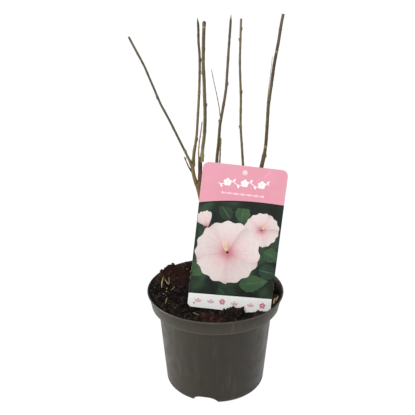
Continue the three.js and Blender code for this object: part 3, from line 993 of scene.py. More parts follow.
def behind_card(point, reach):
    """How far a point is from the plane of the label's face, if it is near the card at all."""
    across, up, out = CARD_AXES.T @ (np.array(point) - CARD_FOOT)
    near = abs(across) < CARD_WIDTH / 2 + reach and up > -reach
    return abs(out + CARD_THICKNESS / 2) if near else math.inf


INNER_LIP = lip_line(POT_WALL + GAP)


def inner_radius(height):
    """How far the pot's inside reaches at a height near its rim."""
    return float(np.interp(height, INNER_LIP[:, 1], INNER_LIP[:, 0]))


# Where the card's foot shows over the soil, and how steeply grains in front of it may stand
BARE_FOOT_SPAN = (-38, 7)
BARE_FOOT_REACH = 13
BARE_FOOT_SLOPE = 0.3


def hides_card_foot(points):
    """Whether a grain stands so high in front of the card's bare foot that it would hide it."""
    x, y = points[:, 0].mean(), points[:, 1].mean()
    in_front = CARD_FOOT[1] - y
    foot_edge = CARD_FOOT[2] - math.tan(CARD_ROLL) * (x - CARD_FOOT[0])
    return (
        BARE_FOOT_SPAN[0] < x < BARE_FOOT_SPAN[1]
        and 0 < in_front < BARE_FOOT_REACH
        and points[:, 2].max() > foot_edge + BARE_FOOT_SLOPE * in_front
    )


def settle(rng, shells, sink):
    """Places shells on the soil's surface, sunk in by a share of their height, inside the pot's wall."""
    settled = []
    for (points, faces), (x, y) in zip(shells, scatter(rng, len(shells))):
        half = (points[:, 2].max() - points[:, 2].min()) / 2
        ground = ground_at(x, y)
        reach = np.linalg.norm(points, axis=1).max()
        from_axis = math.hypot(x, y)
        over = max(0.0, from_axis + reach - inner_radius(ground - half))
        x, y = x * (1 - over / from_axis), y * (1 - over / from_axis)
        place = np.array([x, y, ground + half * (1 - 2 * sink)])
        if behind_card(place, reach) < reach + CARD_THICKNESS or hides_card_foot(points + place):
            continue
        settled.append((points + place, faces))
    return settled


# Lumps at known places, against the stake: (x, y, size)
LUMPS_AT = ((9, -43.5, 6), (12.5, -44, 5))
LUMP_FLATNESS = 0.7
LUMP_LIFT = 0.2


def lump_at(rng, x, y, size):
    """One lump that lies on the soil at a known place."""
    points, faces = stone(rng, size, LUMP_FLATNESS, detail=2)
    return points + (x, y, ground_at(x, y) + LUMP_LIFT * size), faces


CRUMBS_ON_FLARE = (91.2, 93.2)
FLARE_CLEARANCE = 0.3


def on_flare(rng, shells):
    """Places small crumbs on the inner side of the lip's flare."""
    line = lip_line(POT_WALL)
    settled = []
    for points, faces in shells:
        radius = rng.uniform(*CRUMBS_ON_FLARE)
        azimuth = rng.uniform(0, 2 * math.pi)
        height = float(np.interp(radius, line[:, 0], line[:, 1])) + FLARE_CLEARANCE
        place = np.array([radius * math.cos(azimuth), radius * math.sin(azimuth), height])
        settled.append((points + place, faces))
    return settled


# Stones on the soil: how many, their sizes, how flat they are, and how fine their mesh is
LUMPS = (190, (2.4, 5.6), (0.5, 0.9), 2)
CRUMBS = (1000, (0.8, 2.2), (0.5, 1), 1)
FLARE_CRUMBS = (420, (0.4, 1.0), (0.5, 1), 1)

# Bark chips on the soil: how many, and their lengths
BARK_CHIPS = (180, (5, 13))
RED_CHIPS = (34, (4, 9))
PALE_CHIPS = (12, (2, 4))
FIBRES = 50
SCATTER_SEED = 7

# One crumb that lies on the label: its place on the card, its size and how flat it is
CRUMB_ON_CARD = (-48.3, 6.3)
CARD_CRUMB_SIZE = 1.5
CARD_CRUMB_FLATNESS = 0.4

# What lies on the soil: its dark tone, its light tone, and the size of the patches that it wanders in
LOOSE = {
    "soil_lumps": ((6, 5, 5), (42, 31, 26), 5),
    "soil_crumbs": ((5, 4, 4), (36, 28, 24), 6),
    "bark_chips": ((10, 8, 7), (56, 42, 36), 6),
    "red_chips": ((58, 34, 30), (96, 62, 52), 3),
    "pale_chips": ((96, 78, 58), (150, 128, 98), 2),
    "root_fibres": ((44, 31, 25), (84, 64, 50), 3),
    "straws": ((134, 120, 72), (192, 176, 124), 2),
    "husks": ((120, 98, 68), (182, 160, 120), 2),
}

# How far each kind is sunk in, as a share of its height
SINK = {
    "soil_lumps": 0.45,
    "soil_crumbs": 0.35,
    "bark_chips": 0.3,
    "red_chips": 0.3,
    "pale_chips": 0.2,
    "root_fibres": 0.1,
}


def stones(rng, count, sizes, flatness, detail):
    return [stone(rng, rng.uniform(*sizes), rng.uniform(*flatness), detail) for _ in range(count)]


def chips(rng, count, lengths):
    return [chip(rng, rng.uniform(*lengths)) for _ in range(count)]


def make_soil_grains():
    """Lumps, crumbs, bark chips and fibres on the soil, each kind one piece."""
    rng = np.random.default_rng(SCATTER_SEED)
    lumps = stones(rng, *LUMPS)
    crumbs = stones(rng, *CRUMBS)
    flare_crumbs = stones(rng, *FLARE_CRUMBS)
    bark = chips(rng, *BARK_CHIPS)
    red = chips(rng, *RED_CHIPS)
    pale = chips(rng, *PALE_CHIPS)
    fibres = [root_fibre(rng) for _ in range(FIBRES)]
    crumb, crumb_faces = stone(rng, CARD_CRUMB_SIZE, CARD_CRUMB_FLATNESS, detail=1)
    on_label = (crumb + on_card([CRUMB_ON_CARD], 1)[0], crumb_faces)
    lumps = settle(rng, lumps, SINK["soil_lumps"]) + [lump_at(rng, *lump) for lump in LUMPS_AT]
    loose_piece("soil_lumps", lumps)
    crumbs = settle(rng, crumbs, SINK["soil_crumbs"]) + on_flare(rng, flare_crumbs) + [on_label]
    loose_piece("soil_crumbs", crumbs)
    chips_and_fibres = {"bark_chips": bark, "red_chips": red, "pale_chips": pale, "root_fibres": fibres}
    for name, shells in chips_and_fibres.items():
        loose_piece(name, settle(rng, shells, SINK[name]))


def loose_piece(name, shells):
    return joined_piece(name, shells, loose_material(name + "_look", *LOOSE[name]))


# A root fibre: its length and thickness, how it bends and sways, and how far it tilts
FIBRE_LENGTH = (7, 20)
FIBRE_RADIUS = (0.16, 0.34)
FIBRE_BEND = 0.9
FIBRE_SWAY = (0.6, (4, 12))
FIBRE_RISE = (0.4, (3, 9))
FIBRE_TILT = 0.15
FIBRE_SIDES = 6
BEND_MIDDLE = 0.08
STRAND_POINTS = 9


def root_fibre(rng):
    """A thin root or husk fibre that lies in a loose curve."""
    length = rng.uniform(*FIBRE_LENGTH)
    shares = np.linspace(-0.5, 0.5, STRAND_POINTS)
    bend = rng.uniform(-FIBRE_BEND, FIBRE_BEND)
    sway = FIBRE_SWAY[0] * np.sin(shares * rng.uniform(*FIBRE_SWAY[1]))
    rise = FIBRE_RISE[0] * np.cos(shares * rng.uniform(*FIBRE_RISE[1]))
    points = np.stack([length * shares, bend * length * (shares**2 - BEND_MIDDLE) + sway, rise], axis=-1)
    return strand(points @ random_turn(rng, FIBRE_TILT).T, rng.uniform(*FIBRE_RADIUS), FIBRE_SIDES)


# Straw and husks that lie at known places: the two ends as (x, y), and the radius
STRAWS = (
    ((-74.0, 34.0), (-75.0, 3.0), 0.8),
    ((-72.5, 30.0), (-66.0, 15.0), 0.65),
    ((-65.0, 36.5), (-66.0, 14.5), 0.7),
    ((-67.2, 3.6), (-68.0, 1.6), 0.8),
    ((-67.7, -4.5), (-68.1, -6.1), 0.7),
    ((-71.7, -11.4), (-72.3, -12.8), 0.6),
    ((-66.0, -22.0), (-69.1, -39.5), 0.45),
    ((-57.0, 12.9), (-60.8, -1.4), 0.35),
    ((-58.4, -37.9), (-54.4, -36.8), 0.5),
    ((-55.7, -48.4), (-54.7, -49.4), 0.6),
    ((-31.0, -55.0), (-21.5, -62.0), 0.35),
    ((-43.1, 75.0), (-38.9, 76.4), 0.4),
    ((-37.1, 57.6), (-33.1, 59.2), 0.4),
    ((-42.1, 62.0), (-38.3, 63.0), 0.4),
)
HUSKS = (
    ((84.2, -9.5), (79.9, -25.5), 1.7),
    ((87.5, -7.0), (83.0, -19.0), 1.5),
    ((81.5, 12.2), (82.1, 10.4), 1.0),
)
STRAW_LIFT = 3.2
STRAW_SWELL = 1.05
HUSK_LIFT = 1.0
STRAW_SIDES = 8
STRAW_SWAY = 0.4
STRAW_SWAY_RATE = 5
GROUND_WINDOW = 5


def lying_strands(lines, lift):
    """Strands that lie loosely over the soil along lines of (start, end, radius)."""
    shells = []
    for start, end, radius in lines:
        shares = np.linspace(0, 1, STRAND_POINTS)
        sway = STRAW_SWAY * np.sin(shares * STRAW_SWAY_RATE + start[0])
        x = start[0] + (end[0] - start[0]) * shares + sway
        y = start[1] + (end[1] - start[1]) * shares
        ground = np.pad(soil_height(x, y, fine=False), GROUND_WINDOW // 2, mode="edge")
        z = np.convolve(ground, np.ones(GROUND_WINDOW) / GROUND_WINDOW, "valid")
        points = np.stack([x, y, z + radius + lift], axis=-1)
        shells.append(strand(points, STRAW_SWELL * radius, STRAW_SIDES))
    return shells


def make_straws():
    loose_piece("straws", lying_strands(STRAWS, STRAW_LIFT))
    loose_piece("husks", lying_strands(HUSKS, HUSK_LIFT))


# Plant label


def card_axes():
    """The card's own axes as columns: across, up along the card, and out of its face."""
    right = np.array([math.cos(CARD_YAW), math.sin(CARD_YAW), 0])
    back = np.array([-math.sin(CARD_YAW), math.cos(CARD_YAW), 0])
    rise = np.array([0, 0, 1]) * math.cos(CARD_LEAN_BACK) + back * math.sin(CARD_LEAN_BACK)
    across = right * math.cos(CARD_ROLL) - rise * math.sin(CARD_ROLL)
    up = rise * math.cos(CARD_ROLL) + right * math.sin(CARD_ROLL)
    return np.stack([across, up, np.cross(across, up)], axis=-1)


CARD_AXES = card_axes()


def on_card(points, height):
    """Points (n, 2) across and up the card, at a height over its face, in the part's frame."""
    flat = np.asarray(points, float)
    heights = np.broadcast_to(np.asarray(height, float), len(flat))
    return np.column_stack([flat, heights]) @ CARD_AXES.T + CARD_FOOT


def plate(outline, low, high):
    """A thin closed plate on the card with the given outline, counter-clockwise."""
    return tube_shell(np.stack([on_card(outline, low), on_card(outline, high)]))


def arc(centre, radius, start, end, steps=8):
    turns = [math.radians(start + (end - start) * i / steps) for i in range(steps + 1)]
    return [(centre[0] + radius * math.cos(t), centre[1] + radius * math.sin(t)) for t in turns]


def circle(centre, radius, steps):
    return arc(centre, radius, 0, 360, steps)[:-1]


def pointing(direction, foot, along, aside):
    """The place that lies so far along a direction in degrees, and aside to its left, from a foot."""
    turn = math.radians(direction)
    return (
        foot[0] + along * math.cos(turn) - aside * math.sin(turn),
        foot[1] + along * math.sin(turn) + aside * math.cos(turn),
    )


def card_outline(inset=0):
    half = CARD_WIDTH / 2 - inset
    top = CARD_LENGTH - inset
    high = CARD_TOP_CORNER - inset
    low = CARD_FOOT_CORNER - inset
    line = arc((half - low, inset + low), low, -90, 0)
    line += arc((half - high, top - high), high, 0, 90)
    line += arc((high - half, top - high), high, 90, 180)
    line += arc((low - half, inset + low), low, 180, 270)
    return line


CARD_WHITE = ("card_white", (204, 200, 196), (216, 213, 209), 18)


def make_card():
    """The bare card with its stake."""
    half_stake = STAKE_WIDTH / 2
    shoulder = -(STAKE_LENGTH - STAKE_POINT)
    stake = [
        (-half_stake, 0),
        (-half_stake, shoulder),
        (0, -STAKE_LENGTH),
        (half_stake, shoulder),
        (half_stake, 0),
    ]
    card = closed_object("label_card", plate(card_outline() + stake, -CARD_THICKNESS, 0))
    finish_piece(card, ink_material(*CARD_WHITE), ["plant_label"], sharp_angle=30)


# The label's print, in layers over its face. The lower edge of the header is a shallow arch.
INK = 0.04
EDGE_MARGIN = 0.06
PICTURE_MARGIN = 0.6
HEADER_EDGE = ((-56.5, 147.0), (-26, 152.6), (1, 155.2), (28, 156.0), (56.5, 155.2))
HEADER_STEPS = 28
FOOTER_EDGE = ((-56.5, 19.5), (56.5, 22.9))
LINE_WIDTH = 1.7

# Each printed piece's ink: its name, its dark tone, its light tone, and the size of its uneven patches
INKS = {
    "label_header": ("header_pink", (219, 149, 165), (224, 157, 173), 40),
    "label_line": ("line_black", (16, 14, 14), (22, 20, 19), 18),
    "label_footer": ("footer_white", (248, 247, 244), (253, 252, 250), 18),
    "label_punch_shadow": ("punch_shadow_pink", (200, 146, 156), (210, 158, 166), 18),
    "label_disc": ("disc_pale", (230, 197, 199), (238, 207, 207), 18),
    "label_crease": ("crease_pale", (244, 190, 204), (248, 200, 212), 18),
    "label_leaves_dark": ("leaf_dark", (27, 45, 32), (41, 65, 45), 18),
    "label_leaves_light": ("leaf_light", (43, 68, 46), (64, 94, 60), 18),
    "label_leaf_ribs": ("leaf_rib", (68, 94, 68), (84, 110, 80), 18),
    "label_stamens": ("stamen_cream", (226, 200, 150), (240, 224, 184), 3),
    "label_vine": ("ink_white", (250, 240, 243), (255, 250, 251), 18),
    "label_dots": ("ink_pale", (244, 196, 208), (247, 206, 216), 18),
    "label_sprigs": ("mark_pale", (226, 184, 194), (234, 194, 204), 18),
    "label_small_blossoms": ("mark_pink", (216, 134, 156), (224, 146, 168), 18),
}


def header_edge():
    """The header's lower edge from left to right, as a smooth curve through its driving points."""
    x, y = np.array(HEADER_EDGE).T
    fit = np.polyfit(x, y, 3)
    half = CARD_WIDTH / 2 - EDGE_MARGIN
    return [(a, float(np.polyval(fit, a))) for a in np.linspace(-half, half, HEADER_STEPS)]


def footer_edge():
    (x0, y0), (x1, y1) = FOOTER_EDGE
    half = CARD_WIDTH / 2 - EDGE_MARGIN
    slope = (y1 - y0) / (x1 - x0)
    return [(-half, y0 + slope * (-half - x0)), (half, y0 + slope * (half - x0))]


def print_piece(name, shells, material):
    return joined_piece(name, shells, material, sharp_angle=30)


def ink_piece(name, outlines, low=INK, high=2 * INK):
    """One printed piece, from its outlines on the card and the heights of its ink."""
    shells = [plate(outline, low, high) for outline in outlines]
    return print_piece(name, shells, ink_material(*INKS[name]))


def make_panels():
    """The pink header, the dark picture ground with a line over it, and the pale footer."""
    outline = card_outline(EDGE_MARGIN)
    edge = header_edge()
    foot = footer_edge()
    top = [p for p in outline if p[1] > HEADER_EDGE[2][1]]
    low = [p for p in outline if p[1] < FOOTER_EDGE[0][1]]
    right = [p for p in low if p[0] > 0]
    left = [p for p in low if p[0] < 0]
    line = [(a, b - LINE_WIDTH) for a, b in edge]
    ink_piece("label_header", [edge + top], -INK, INK)
    print_piece("label_picture", [plate(foot + edge[::-1], -INK, INK)], picture_material())
    ink_piece("label_line", [line + edge[::-1]])
    ink_piece("label_footer", [left + right + foot[::-1]], -INK, INK)


PUNCH_CENTRE = (-0.3, 194.0)
PUNCH_RADIUS = 3.5
PUNCH_SHADE = 0.35
PUNCH_STEPS = 40
CREASE = ((25.9, 189.8), (33.6, 199.8))
CREASE_WIDTH = 0.45


def make_header_marks():
    """The disc that is scored for hanging, with a painted shadow along its lower edge, and a crease by the
    corner.
    """
    below = (PUNCH_CENTRE[0], PUNCH_CENTRE[1] - PUNCH_SHADE)
    # Painted shadow along the disc's lower edge
    ink_piece("label_punch_shadow", [circle(below, PUNCH_RADIUS, PUNCH_STEPS)])
    ink_piece("label_disc", [circle(PUNCH_CENTRE, PUNCH_RADIUS, PUNCH_STEPS)], INK, 3 * INK)
    ink_piece("label_crease", [ribbon(CREASE, CREASE_WIDTH)])


# A petal's grid of points: shares of its length as a column, and its width, from -1 to 1, as a row
PETAL_FOOT = 0.04
PETAL_ROWS = 14
PETAL_COLUMNS = 15
ALONG_PETAL = np.linspace(PETAL_FOOT, 1, PETAL_ROWS)[:, None]
ACROSS_PETAL = np.linspace(-1, 1, PETAL_COLUMNS)[None, :]

# A petal's shape: how its width grows and closes, how round its end is, and how its edge is ruffled
PETAL_REACH = 1.15
PETAL_FULLNESS = 0.8
PETAL_CLOSING = 1.9
PETAL_FOOT_WIDTH = 0.25
PETAL_ROUND = 0.16
RUFFLE_DEPTH = 0.035
RUFFLE_RATE = 9

# A petal's colours, and the shares of its blush, its veins and its shade
PETAL_PALE = np.array(srgb(224, 211, 208))
PETAL_BLUSH = np.array(srgb(226, 184, 187))
PETAL_DEEP = np.array(srgb(196, 84, 108))
VEIN_RATE = 22
VEIN_FOOT = 0.65
DEEP_REACH = 0.2
BLUSH_MIDDLE = 0.3
BLUSH_SHARE = 0.55
BLUSH_EDGE = 0.35
BLUSH_EDGE_START = 0.7
VEIN_SHADE = 0.1
SIDE_SHADE = 0.14
SIDE_SHADE_START = 0.3
OVERLAP_SHADE = 0.05


def petal_shell(centre, direction, length, breadth, layer, ruffle):
    """One petal as a thin fan, with its colours."""
    grown = np.clip(ALONG_PETAL * PETAL_REACH, 0, PETAL_REACH) ** PETAL_FULLNESS
    width = breadth * np.sin(grown * PETAL_CLOSING)
    reach = length * ALONG_PETAL * (1 - PETAL_ROUND * ACROSS_PETAL**2)
    wave = 1 + RUFFLE_DEPTH * np.sin(ACROSS_PETAL * RUFFLE_RATE + ruffle) * ALONG_PETAL**3
    aside = width * ACROSS_PETAL * within((PETAL_FOOT_WIDTH, 1), ALONG_PETAL)
    x, y = pointing(direction, centre, reach * wave, aside)
    edge = CARD_WIDTH / 2 - PICTURE_MARGIN
    flat = np.stack([np.clip(x, -edge, edge), y], axis=-1).reshape(-1, 2)
    points = np.vstack([on_card(flat, INK), on_card(flat, 2 * INK + INK * layer / 4)])
    colours = petal_colours(layer)
    return points, slab_faces(PETAL_ROWS, PETAL_COLUMNS), np.vstack([colours, colours])


def slab_faces(rows, columns):
    """The faces of a thin slab: a grid of points below, the same grid above, and the rim between them."""
    count = rows * columns
    grid = grid_faces(rows, columns, closed=False)
    rim = (
        list(range(columns))
        + [r * columns + columns - 1 for r in range(1, rows)]
        + [(rows - 1) * columns + c for c in range(columns - 2, -1, -1)]
        + [r * columns for r in range(rows - 2, 0, -1)]
    )
    sides = [
        [here, after, after + count, here + count]
        for here, after in zip(rim, rim[1:] + rim[:1])
    ]
    return [face[::-1] for face in grid] + [[i + count for i in face] for face in grid] + sides


def petal_colours(layer):
    """A petal's colours: deep at the foot, then blush, veined, and pale to the edge."""
    vein = 0.5 + 0.5 * np.cos(ACROSS_PETAL * VEIN_RATE) * np.ones_like(ALONG_PETAL)
    deep = bump(ALONG_PETAL - PETAL_FOOT, DEEP_REACH) * within((VEIN_FOOT, 1), vein)
    edge = smoothstep(abs(ACROSS_PETAL), BLUSH_EDGE_START, 1) * ALONG_PETAL
    blush = bump(ALONG_PETAL - BLUSH_MIDDLE, BLUSH_MIDDLE) * BLUSH_SHARE + BLUSH_EDGE * edge
    side = smoothstep(ACROSS_PETAL, SIDE_SHADE_START, 1)
    shade = 1 - VEIN_SHADE * vein * (1 - ALONG_PETAL) - SIDE_SHADE * side - OVERLAP_SHADE * (layer % 2)
    colours = PETAL_PALE + (PETAL_BLUSH - PETAL_PALE) * np.clip(blush, 0, 1)[..., None]
    colours = colours + (PETAL_DEEP - colours) * np.clip(deep, 0, 1)[..., None]
    return (colours * shade[..., None]).reshape(-1, 3)


# Blossoms: the centre, a petal's length and breadth, and the direction of the first petal
BLOSSOMS = (
    ((-11, 82), 43, 29, 96),
    ((31, 118), 23, 16, 40),
)
PETALS = 5
RUFFLE_STEP = 1.7

# The flower bud: its foot, its direction, its petals' length and breadth, and how they are spread
FLOWER_BUD_FOOT = (-41, 114)
FLOWER_BUD_DIRECTION = 118
FLOWER_BUD_PETAL = (23, 8)
FLOWER_BUD_SPREAD = (-16, 0, 16)


def make_blossoms():
    """Two open five-petalled blossoms and a bud, of a plain garden kind."""
    petals = [
        (centre, start + 360 / PETALS * i, length, breadth, RUFFLE_STEP * i + start)
        for centre, length, breadth, start in BLOSSOMS[::-1]
        for i in range(PETALS)
    ]
    for turn in FLOWER_BUD_SPREAD:
        petals.append((FLOWER_BUD_FOOT, FLOWER_BUD_DIRECTION + turn, *FLOWER_BUD_PETAL, turn))
    shells = [petal_shell(*shape, layer, ruffle) for layer, (*shape, ruffle) in enumerate(petals, 1)]
    print_piece("label_blossoms", shells, petal_material())


# The stamens: how many a blossom has, where they start and end, and their sizes as shares of a petal
STAMENS = 26
STAMEN_TURN = 20
STAMEN_SPAN = (0.08, 0.38)
STAMEN_SPREAD = 0.045
STAMEN_RADIUS = 0.02
STAMEN_STEPS = 10


def make_stamens():
    """A column of small cream dots in each blossom."""
    dots = []
    for centre, length, _, start in BLOSSOMS:
        for i in range(STAMENS):
            share = within(STAMEN_SPAN, i / (STAMENS - 1))
            aside = STAMEN_SPREAD * length * math.sin(i * GOLDEN_ANGLE)
            place = pointing(start + STAMEN_TURN, centre, length * share, aside)
            dots.append(circle(place, STAMEN_RADIUS * length, STAMEN_STEPS))
    ink_piece("label_stamens", dots, 2 * INK, 8 * INK)


# Leaves behind the blossoms: foot, direction, length and breadth, and whether it is a light one
LEAVES = (
    ((-18, 30), -35, 42, 13, False),
    ((10, 38), 14, 40, 12, True),
    ((34, 62), -8, 30, 11, False),
    ((-40, 60), 215, 26, 10, True),
    ((-34, 100), 130, 34, 12, False),
    ((2, 126), 84, 30, 10, True),
    ((-12, 128), 128, 28, 9, False),
    ((38, 88), -22, 26, 10, True),
)
LEAF_STEPS = 22
LEAF_FULLNESS = 0.7
LEAF_TEETH = (0.07, 34)
LEAF_POINT = 0.01
LEAF_HEIGHTS = (1.2, 0.08)
LEAF_AREA = ((1 - CARD_WIDTH / 2, CARD_WIDTH / 2 - 1), (23.5, 145))
RIB_LENGTH = 0.92
RIB_WIDTH = 0.5
RIB_HEIGHT = 0.3


def leaf_outline(foot, direction, length, breadth):
    """A pointed leaf with a few blunt teeth, kept inside the picture."""
    half = []
    for i in range(LEAF_STEPS + 1):
        share = i / LEAF_STEPS
        teeth = 1 + LEAF_TEETH[0] * math.sin(share * LEAF_TEETH[1])
        width = breadth * math.sin(math.pi * share**LEAF_FULLNESS) * teeth
        half.append((length * share, max(width, LEAF_POINT)))
    loop = [(x, -y) for x, y in half[:-1]] + half[:0:-1]
    (left, right), (low, high) = LEAF_AREA
    placed = [pointing(direction, foot, x, y) for x, y in loop]
    return [(min(max(x, left), right), min(max(y, low), high)) for x, y in placed]


def make_leaves():
    """Dark and light leaves with ribs, each a little higher than the one before."""
    dark, light, ribs = [], [], []
    for order, (foot, direction, length, breadth, is_light) in enumerate(LEAVES):
        high = INK * (LEAF_HEIGHTS[0] + LEAF_HEIGHTS[1] * order)
        leaf = plate(leaf_outline(foot, direction, length, breadth), 0, high)
        group = light if is_light else dark
        group.append(leaf)
        rib = leaf_outline(foot, direction, length * RIB_LENGTH, RIB_WIDTH)
        ribs.append(plate(rib, 0, high + RIB_HEIGHT * INK))
    groups = {"label_leaves_dark": dark, "label_leaves_light": light, "label_leaf_ribs": ribs}
    for name, shells in groups.items():
        print_piece(name, shells, ink_material(*INKS[name]))


def ribbon(line, width):
    """An outline of even width along a line."""
    points = np.array(line)
    along = unit(np.gradient(points, axis=0))
    normal = np.column_stack([-along[:, 1], along[:, 0]])
    return np.vstack([points - normal * width / 2, (points + normal * width / 2)[::-1]])


SMALL_LEAF_STEPS = 12
SMALL_LEAF_WIDTH = 0.24


def small_leaf(x, y, direction, length):
    """The outline of a plain pointed leaf with its foot at (x, y)."""
    shares = np.linspace(0, 1, SMALL_LEAF_STEPS)
    side = np.column_stack([length * shares, SMALL_LEAF_WIDTH * length * np.sin(math.pi * shares)])
    shape = np.vstack([side[::-1], side[1:-1] * (1, -1)])
    return np.column_stack(pointing(direction, (x, y), shape[:, 0], shape[:, 1]))


# A small blossom's petals: how far out they lie and how large they are, as shares of its radius
SMALL_PETAL_PLACE = 0.58
SMALL_PETAL_RADIUS = 0.42
SMALL_PETAL_STEPS = 16


def small_blossom(x, y, radius):
    """The outlines of five round petals round a point."""
    centres = [
        pointing(90 + 360 / PETALS * i, (x, y), SMALL_PETAL_PLACE * radius, 0)
        for i in range(PETALS)
    ]
    return [circle(centre, SMALL_PETAL_RADIUS * radius, SMALL_PETAL_STEPS) for centre in centres]


# The header's vine: its line, its leaves and its blossoms, across and up the card
VINE_HALF_LENGTH = 34
VINE_STEPS = 70
VINE_WIDTH = 0.9
VINE_HEIGHT = 178.6
VINE_SLOPE = 0.012
VINE_WAVE = 2.6
VINE_WAVELENGTH = 24
VINE_LEAVES = 12
VINE_LEAF_START = -31
VINE_LEAF_SPACING = 5.6
VINE_LEAF_DIRECTION = 62
VINE_LEAF_LENGTH = 5.2
VINE_BLOSSOMS = (-22, 1, 24)
VINE_BLOSSOM_HEIGHT = 179.2
VINE_BLOSSOM_RADIUS = 5.4

# The row of dots under it, where every third dot is larger
DOTS = 19
DOT_START = -27
DOT_SPACING = 3
DOT_HEIGHT = 164
DOT_RADIUS = 1.1
LARGE_DOT_RADIUS = 1.7
DOT_STEPS = 14


def vine_point(across):
    """How far up the card the vine's wavy stem runs."""
    wave = math.sin(across * 2 * math.pi / VINE_WAVELENGTH)
    return VINE_HEIGHT + VINE_SLOPE * across + VINE_WAVE * wave


def make_header_ornament():
    """A white leafy vine with three blossoms, and a row of fine dots under it."""
    line = [(a, vine_point(a)) for a in np.linspace(-VINE_HALF_LENGTH, VINE_HALF_LENGTH, VINE_STEPS)]
    shells = [plate(ribbon(line, VINE_WIDTH), INK, 2 * INK)]
    for i in range(VINE_LEAVES):
        across = VINE_LEAF_START + i * VINE_LEAF_SPACING
        direction = VINE_LEAF_DIRECTION if i % 2 else -VINE_LEAF_DIRECTION
        leaf = small_leaf(across, vine_point(across), direction, VINE_LEAF_LENGTH)
        shells.append(plate(leaf, INK, 2 * INK))
    for across in VINE_BLOSSOMS:
        up = VINE_BLOSSOM_HEIGHT + VINE_SLOPE * across
        for petal in small_blossom(across, up, VINE_BLOSSOM_RADIUS):
            shells.append(plate(petal, INK, 2.4 * INK))
    print_piece("label_vine", shells, ink_material(*INKS["label_vine"]))
    dots = []
    for i in range(DOTS):
        radius = DOT_RADIUS if i % 3 else LARGE_DOT_RADIUS
        dots.append(circle((DOT_START + DOT_SPACING * i, DOT_HEIGHT), radius, DOT_STEPS))
    ink_piece("label_dots", dots)


# The footer's row of marks: (across the card, whether it is a blossom)
FOOTER_MARKS = ((-43, False), (-25.6, False), (-10, True), (7, False), (29, False), (45.2, True))
MARK_HEIGHT = 11.6
MARK_SLOPE = 0.01
MARK_BLOSSOM_RADIUS = 4.4
SPRIG_DROP = 3.4
SPRIG_LENGTH = 6.4
SPRIG_DIRECTIONS = (35, 90, 145)


def make_footer_marks():
    """A row of pale sprigs and stronger blossoms."""
    sprigs, blossoms = [], []
    for across, is_blossom in FOOTER_MARKS:
        up = MARK_HEIGHT + MARK_SLOPE * across
        if is_blossom:
            blossoms += small_blossom(across, up, MARK_BLOSSOM_RADIUS)
            continue
        for direction in SPRIG_DIRECTIONS:
            sprigs.append(small_leaf(across, up - SPRIG_DROP, direction, SPRIG_LENGTH))
    ink_piece("label_sprigs", sprigs)
    ink_piece("label_small_blossoms", blossoms)


def make_label():
    make_card()
    make_panels()
    make_header_marks()
    make_leaves()
    make_blossoms()
    make_stamens()
    make_header_ornament()
    make_footer_marks()


# Limbs


class Limb:
    """A woody limb: a gently bowed line from foot to tip, with small bends at some nodes."""

    def __init__(
        self, foot, tip, radius, low=(0, 0, 0), high=(0, 0, 0), kinks=(), flare=0, old_wood=(1, 0),
    ):
        self.foot, self.tip = np.array(foot, float), np.array(tip, float)
        self.low, self.high = np.array(low, float), np.array(high, float)
        self.radius, self.kinks, self.flare, self.old_wood = radius, kinks, flare, old_wood
        self.span = float(np.linalg.norm(self.tip - self.foot))

    def point(self, t):
        t = np.atleast_1d(np.asarray(t, float))[:, None]
        line = self.foot + (self.tip - self.foot) * t
        line = line + self.low * 3 * t * (1 - t) ** 2 + self.high * 3 * t**2 * (1 - t)
        for place, shift in self.kinks:
            line = line + shift * bump(t - place, KINK_SPAN) * np.array([1, 0, 0])
        return line

    def tangent(self, t):
        t = np.asarray(t)
        return unit(self.point(t + TANGENT_STEP) - self.point(t - TANGENT_STEP))

    def axes(self, t):
        """The limb's direction at t, and two sides: +X as far as that can be, and the front."""
        along = self.tangent(t)
        side = unit(np.array([1.0, 0, 0]) - along[:, :1] * along)
        return along, side, np.cross(side, along)

    def radius_at(self, t):
        """A steady taper, a collar where the limb starts, thicker old wood, and a root flare."""
        t = np.asarray(t, float)
        along = np.clip(t, 0, None) * self.span
        collar = COLLAR_SWELL * self.radius[0] * np.exp(-along / COLLAR_REACH)
        up_to, swell = self.old_wood
        old = swell * (1 - smoothstep(t, up_to - OLD_WOOD_FADE, up_to))
        return within(self.radius, t) + collar + old + self.flare * np.exp(-along / FLARE_REACH)

    def beside(self, t, shift=0.0):
        place = self.point(t)[0]
        place[0] += shift
        return place


def twig_on(parent, t, reach, radius, low=(0, 0, 0)):
    foot = parent.beside(t)
    return Limb(foot, foot + np.array(reach, float), radius, low)


TRUNK = Limb(
    (-0.2, 8, SOIL_LEVEL + GAP - TRUNK_DEPTH), (-24, 8.9, 303.9), (5.8, 4.7), (8, 0, 1.6), (4.2, 0, 10.5),
    flare=FLARE_SWELL,
)
LEFT_BOUGH = Limb(
    TRUNK.beside(0.975, -SIDE_BY_SIDE), (-31.1, 6.9, 329.8), (2.6, 2.5), (-1.5, 0, 0), (-1.5, 0, -1.5),
)
CENTRE_BOUGH = Limb(TRUNK.beside(0.975, SIDE_BY_SIDE), (-20.9, 8, 339.9), (2.9, 2.75))
MIDDLE_BOUGH = Limb(TRUNK.beside(0.38), (-0.3, 27, 292.1), (3.0, 2.5), (1, 0, 0), (-1, -1, 0))
RIGHT_BOUGH = Limb(TRUNK.beside(0.17), (45.1, 14.2, 257.5), (4.0, 3.4), (-11, 1, 0), (4, 0, 0))
BOUGHS = {
    "trunk": TRUNK,
    "left_bough": LEFT_BOUGH,
    "centre_bough": CENTRE_BOUGH,
    "middle_bough": MIDDLE_BOUGH,
    "right_bough": RIGHT_BOUGH,
}

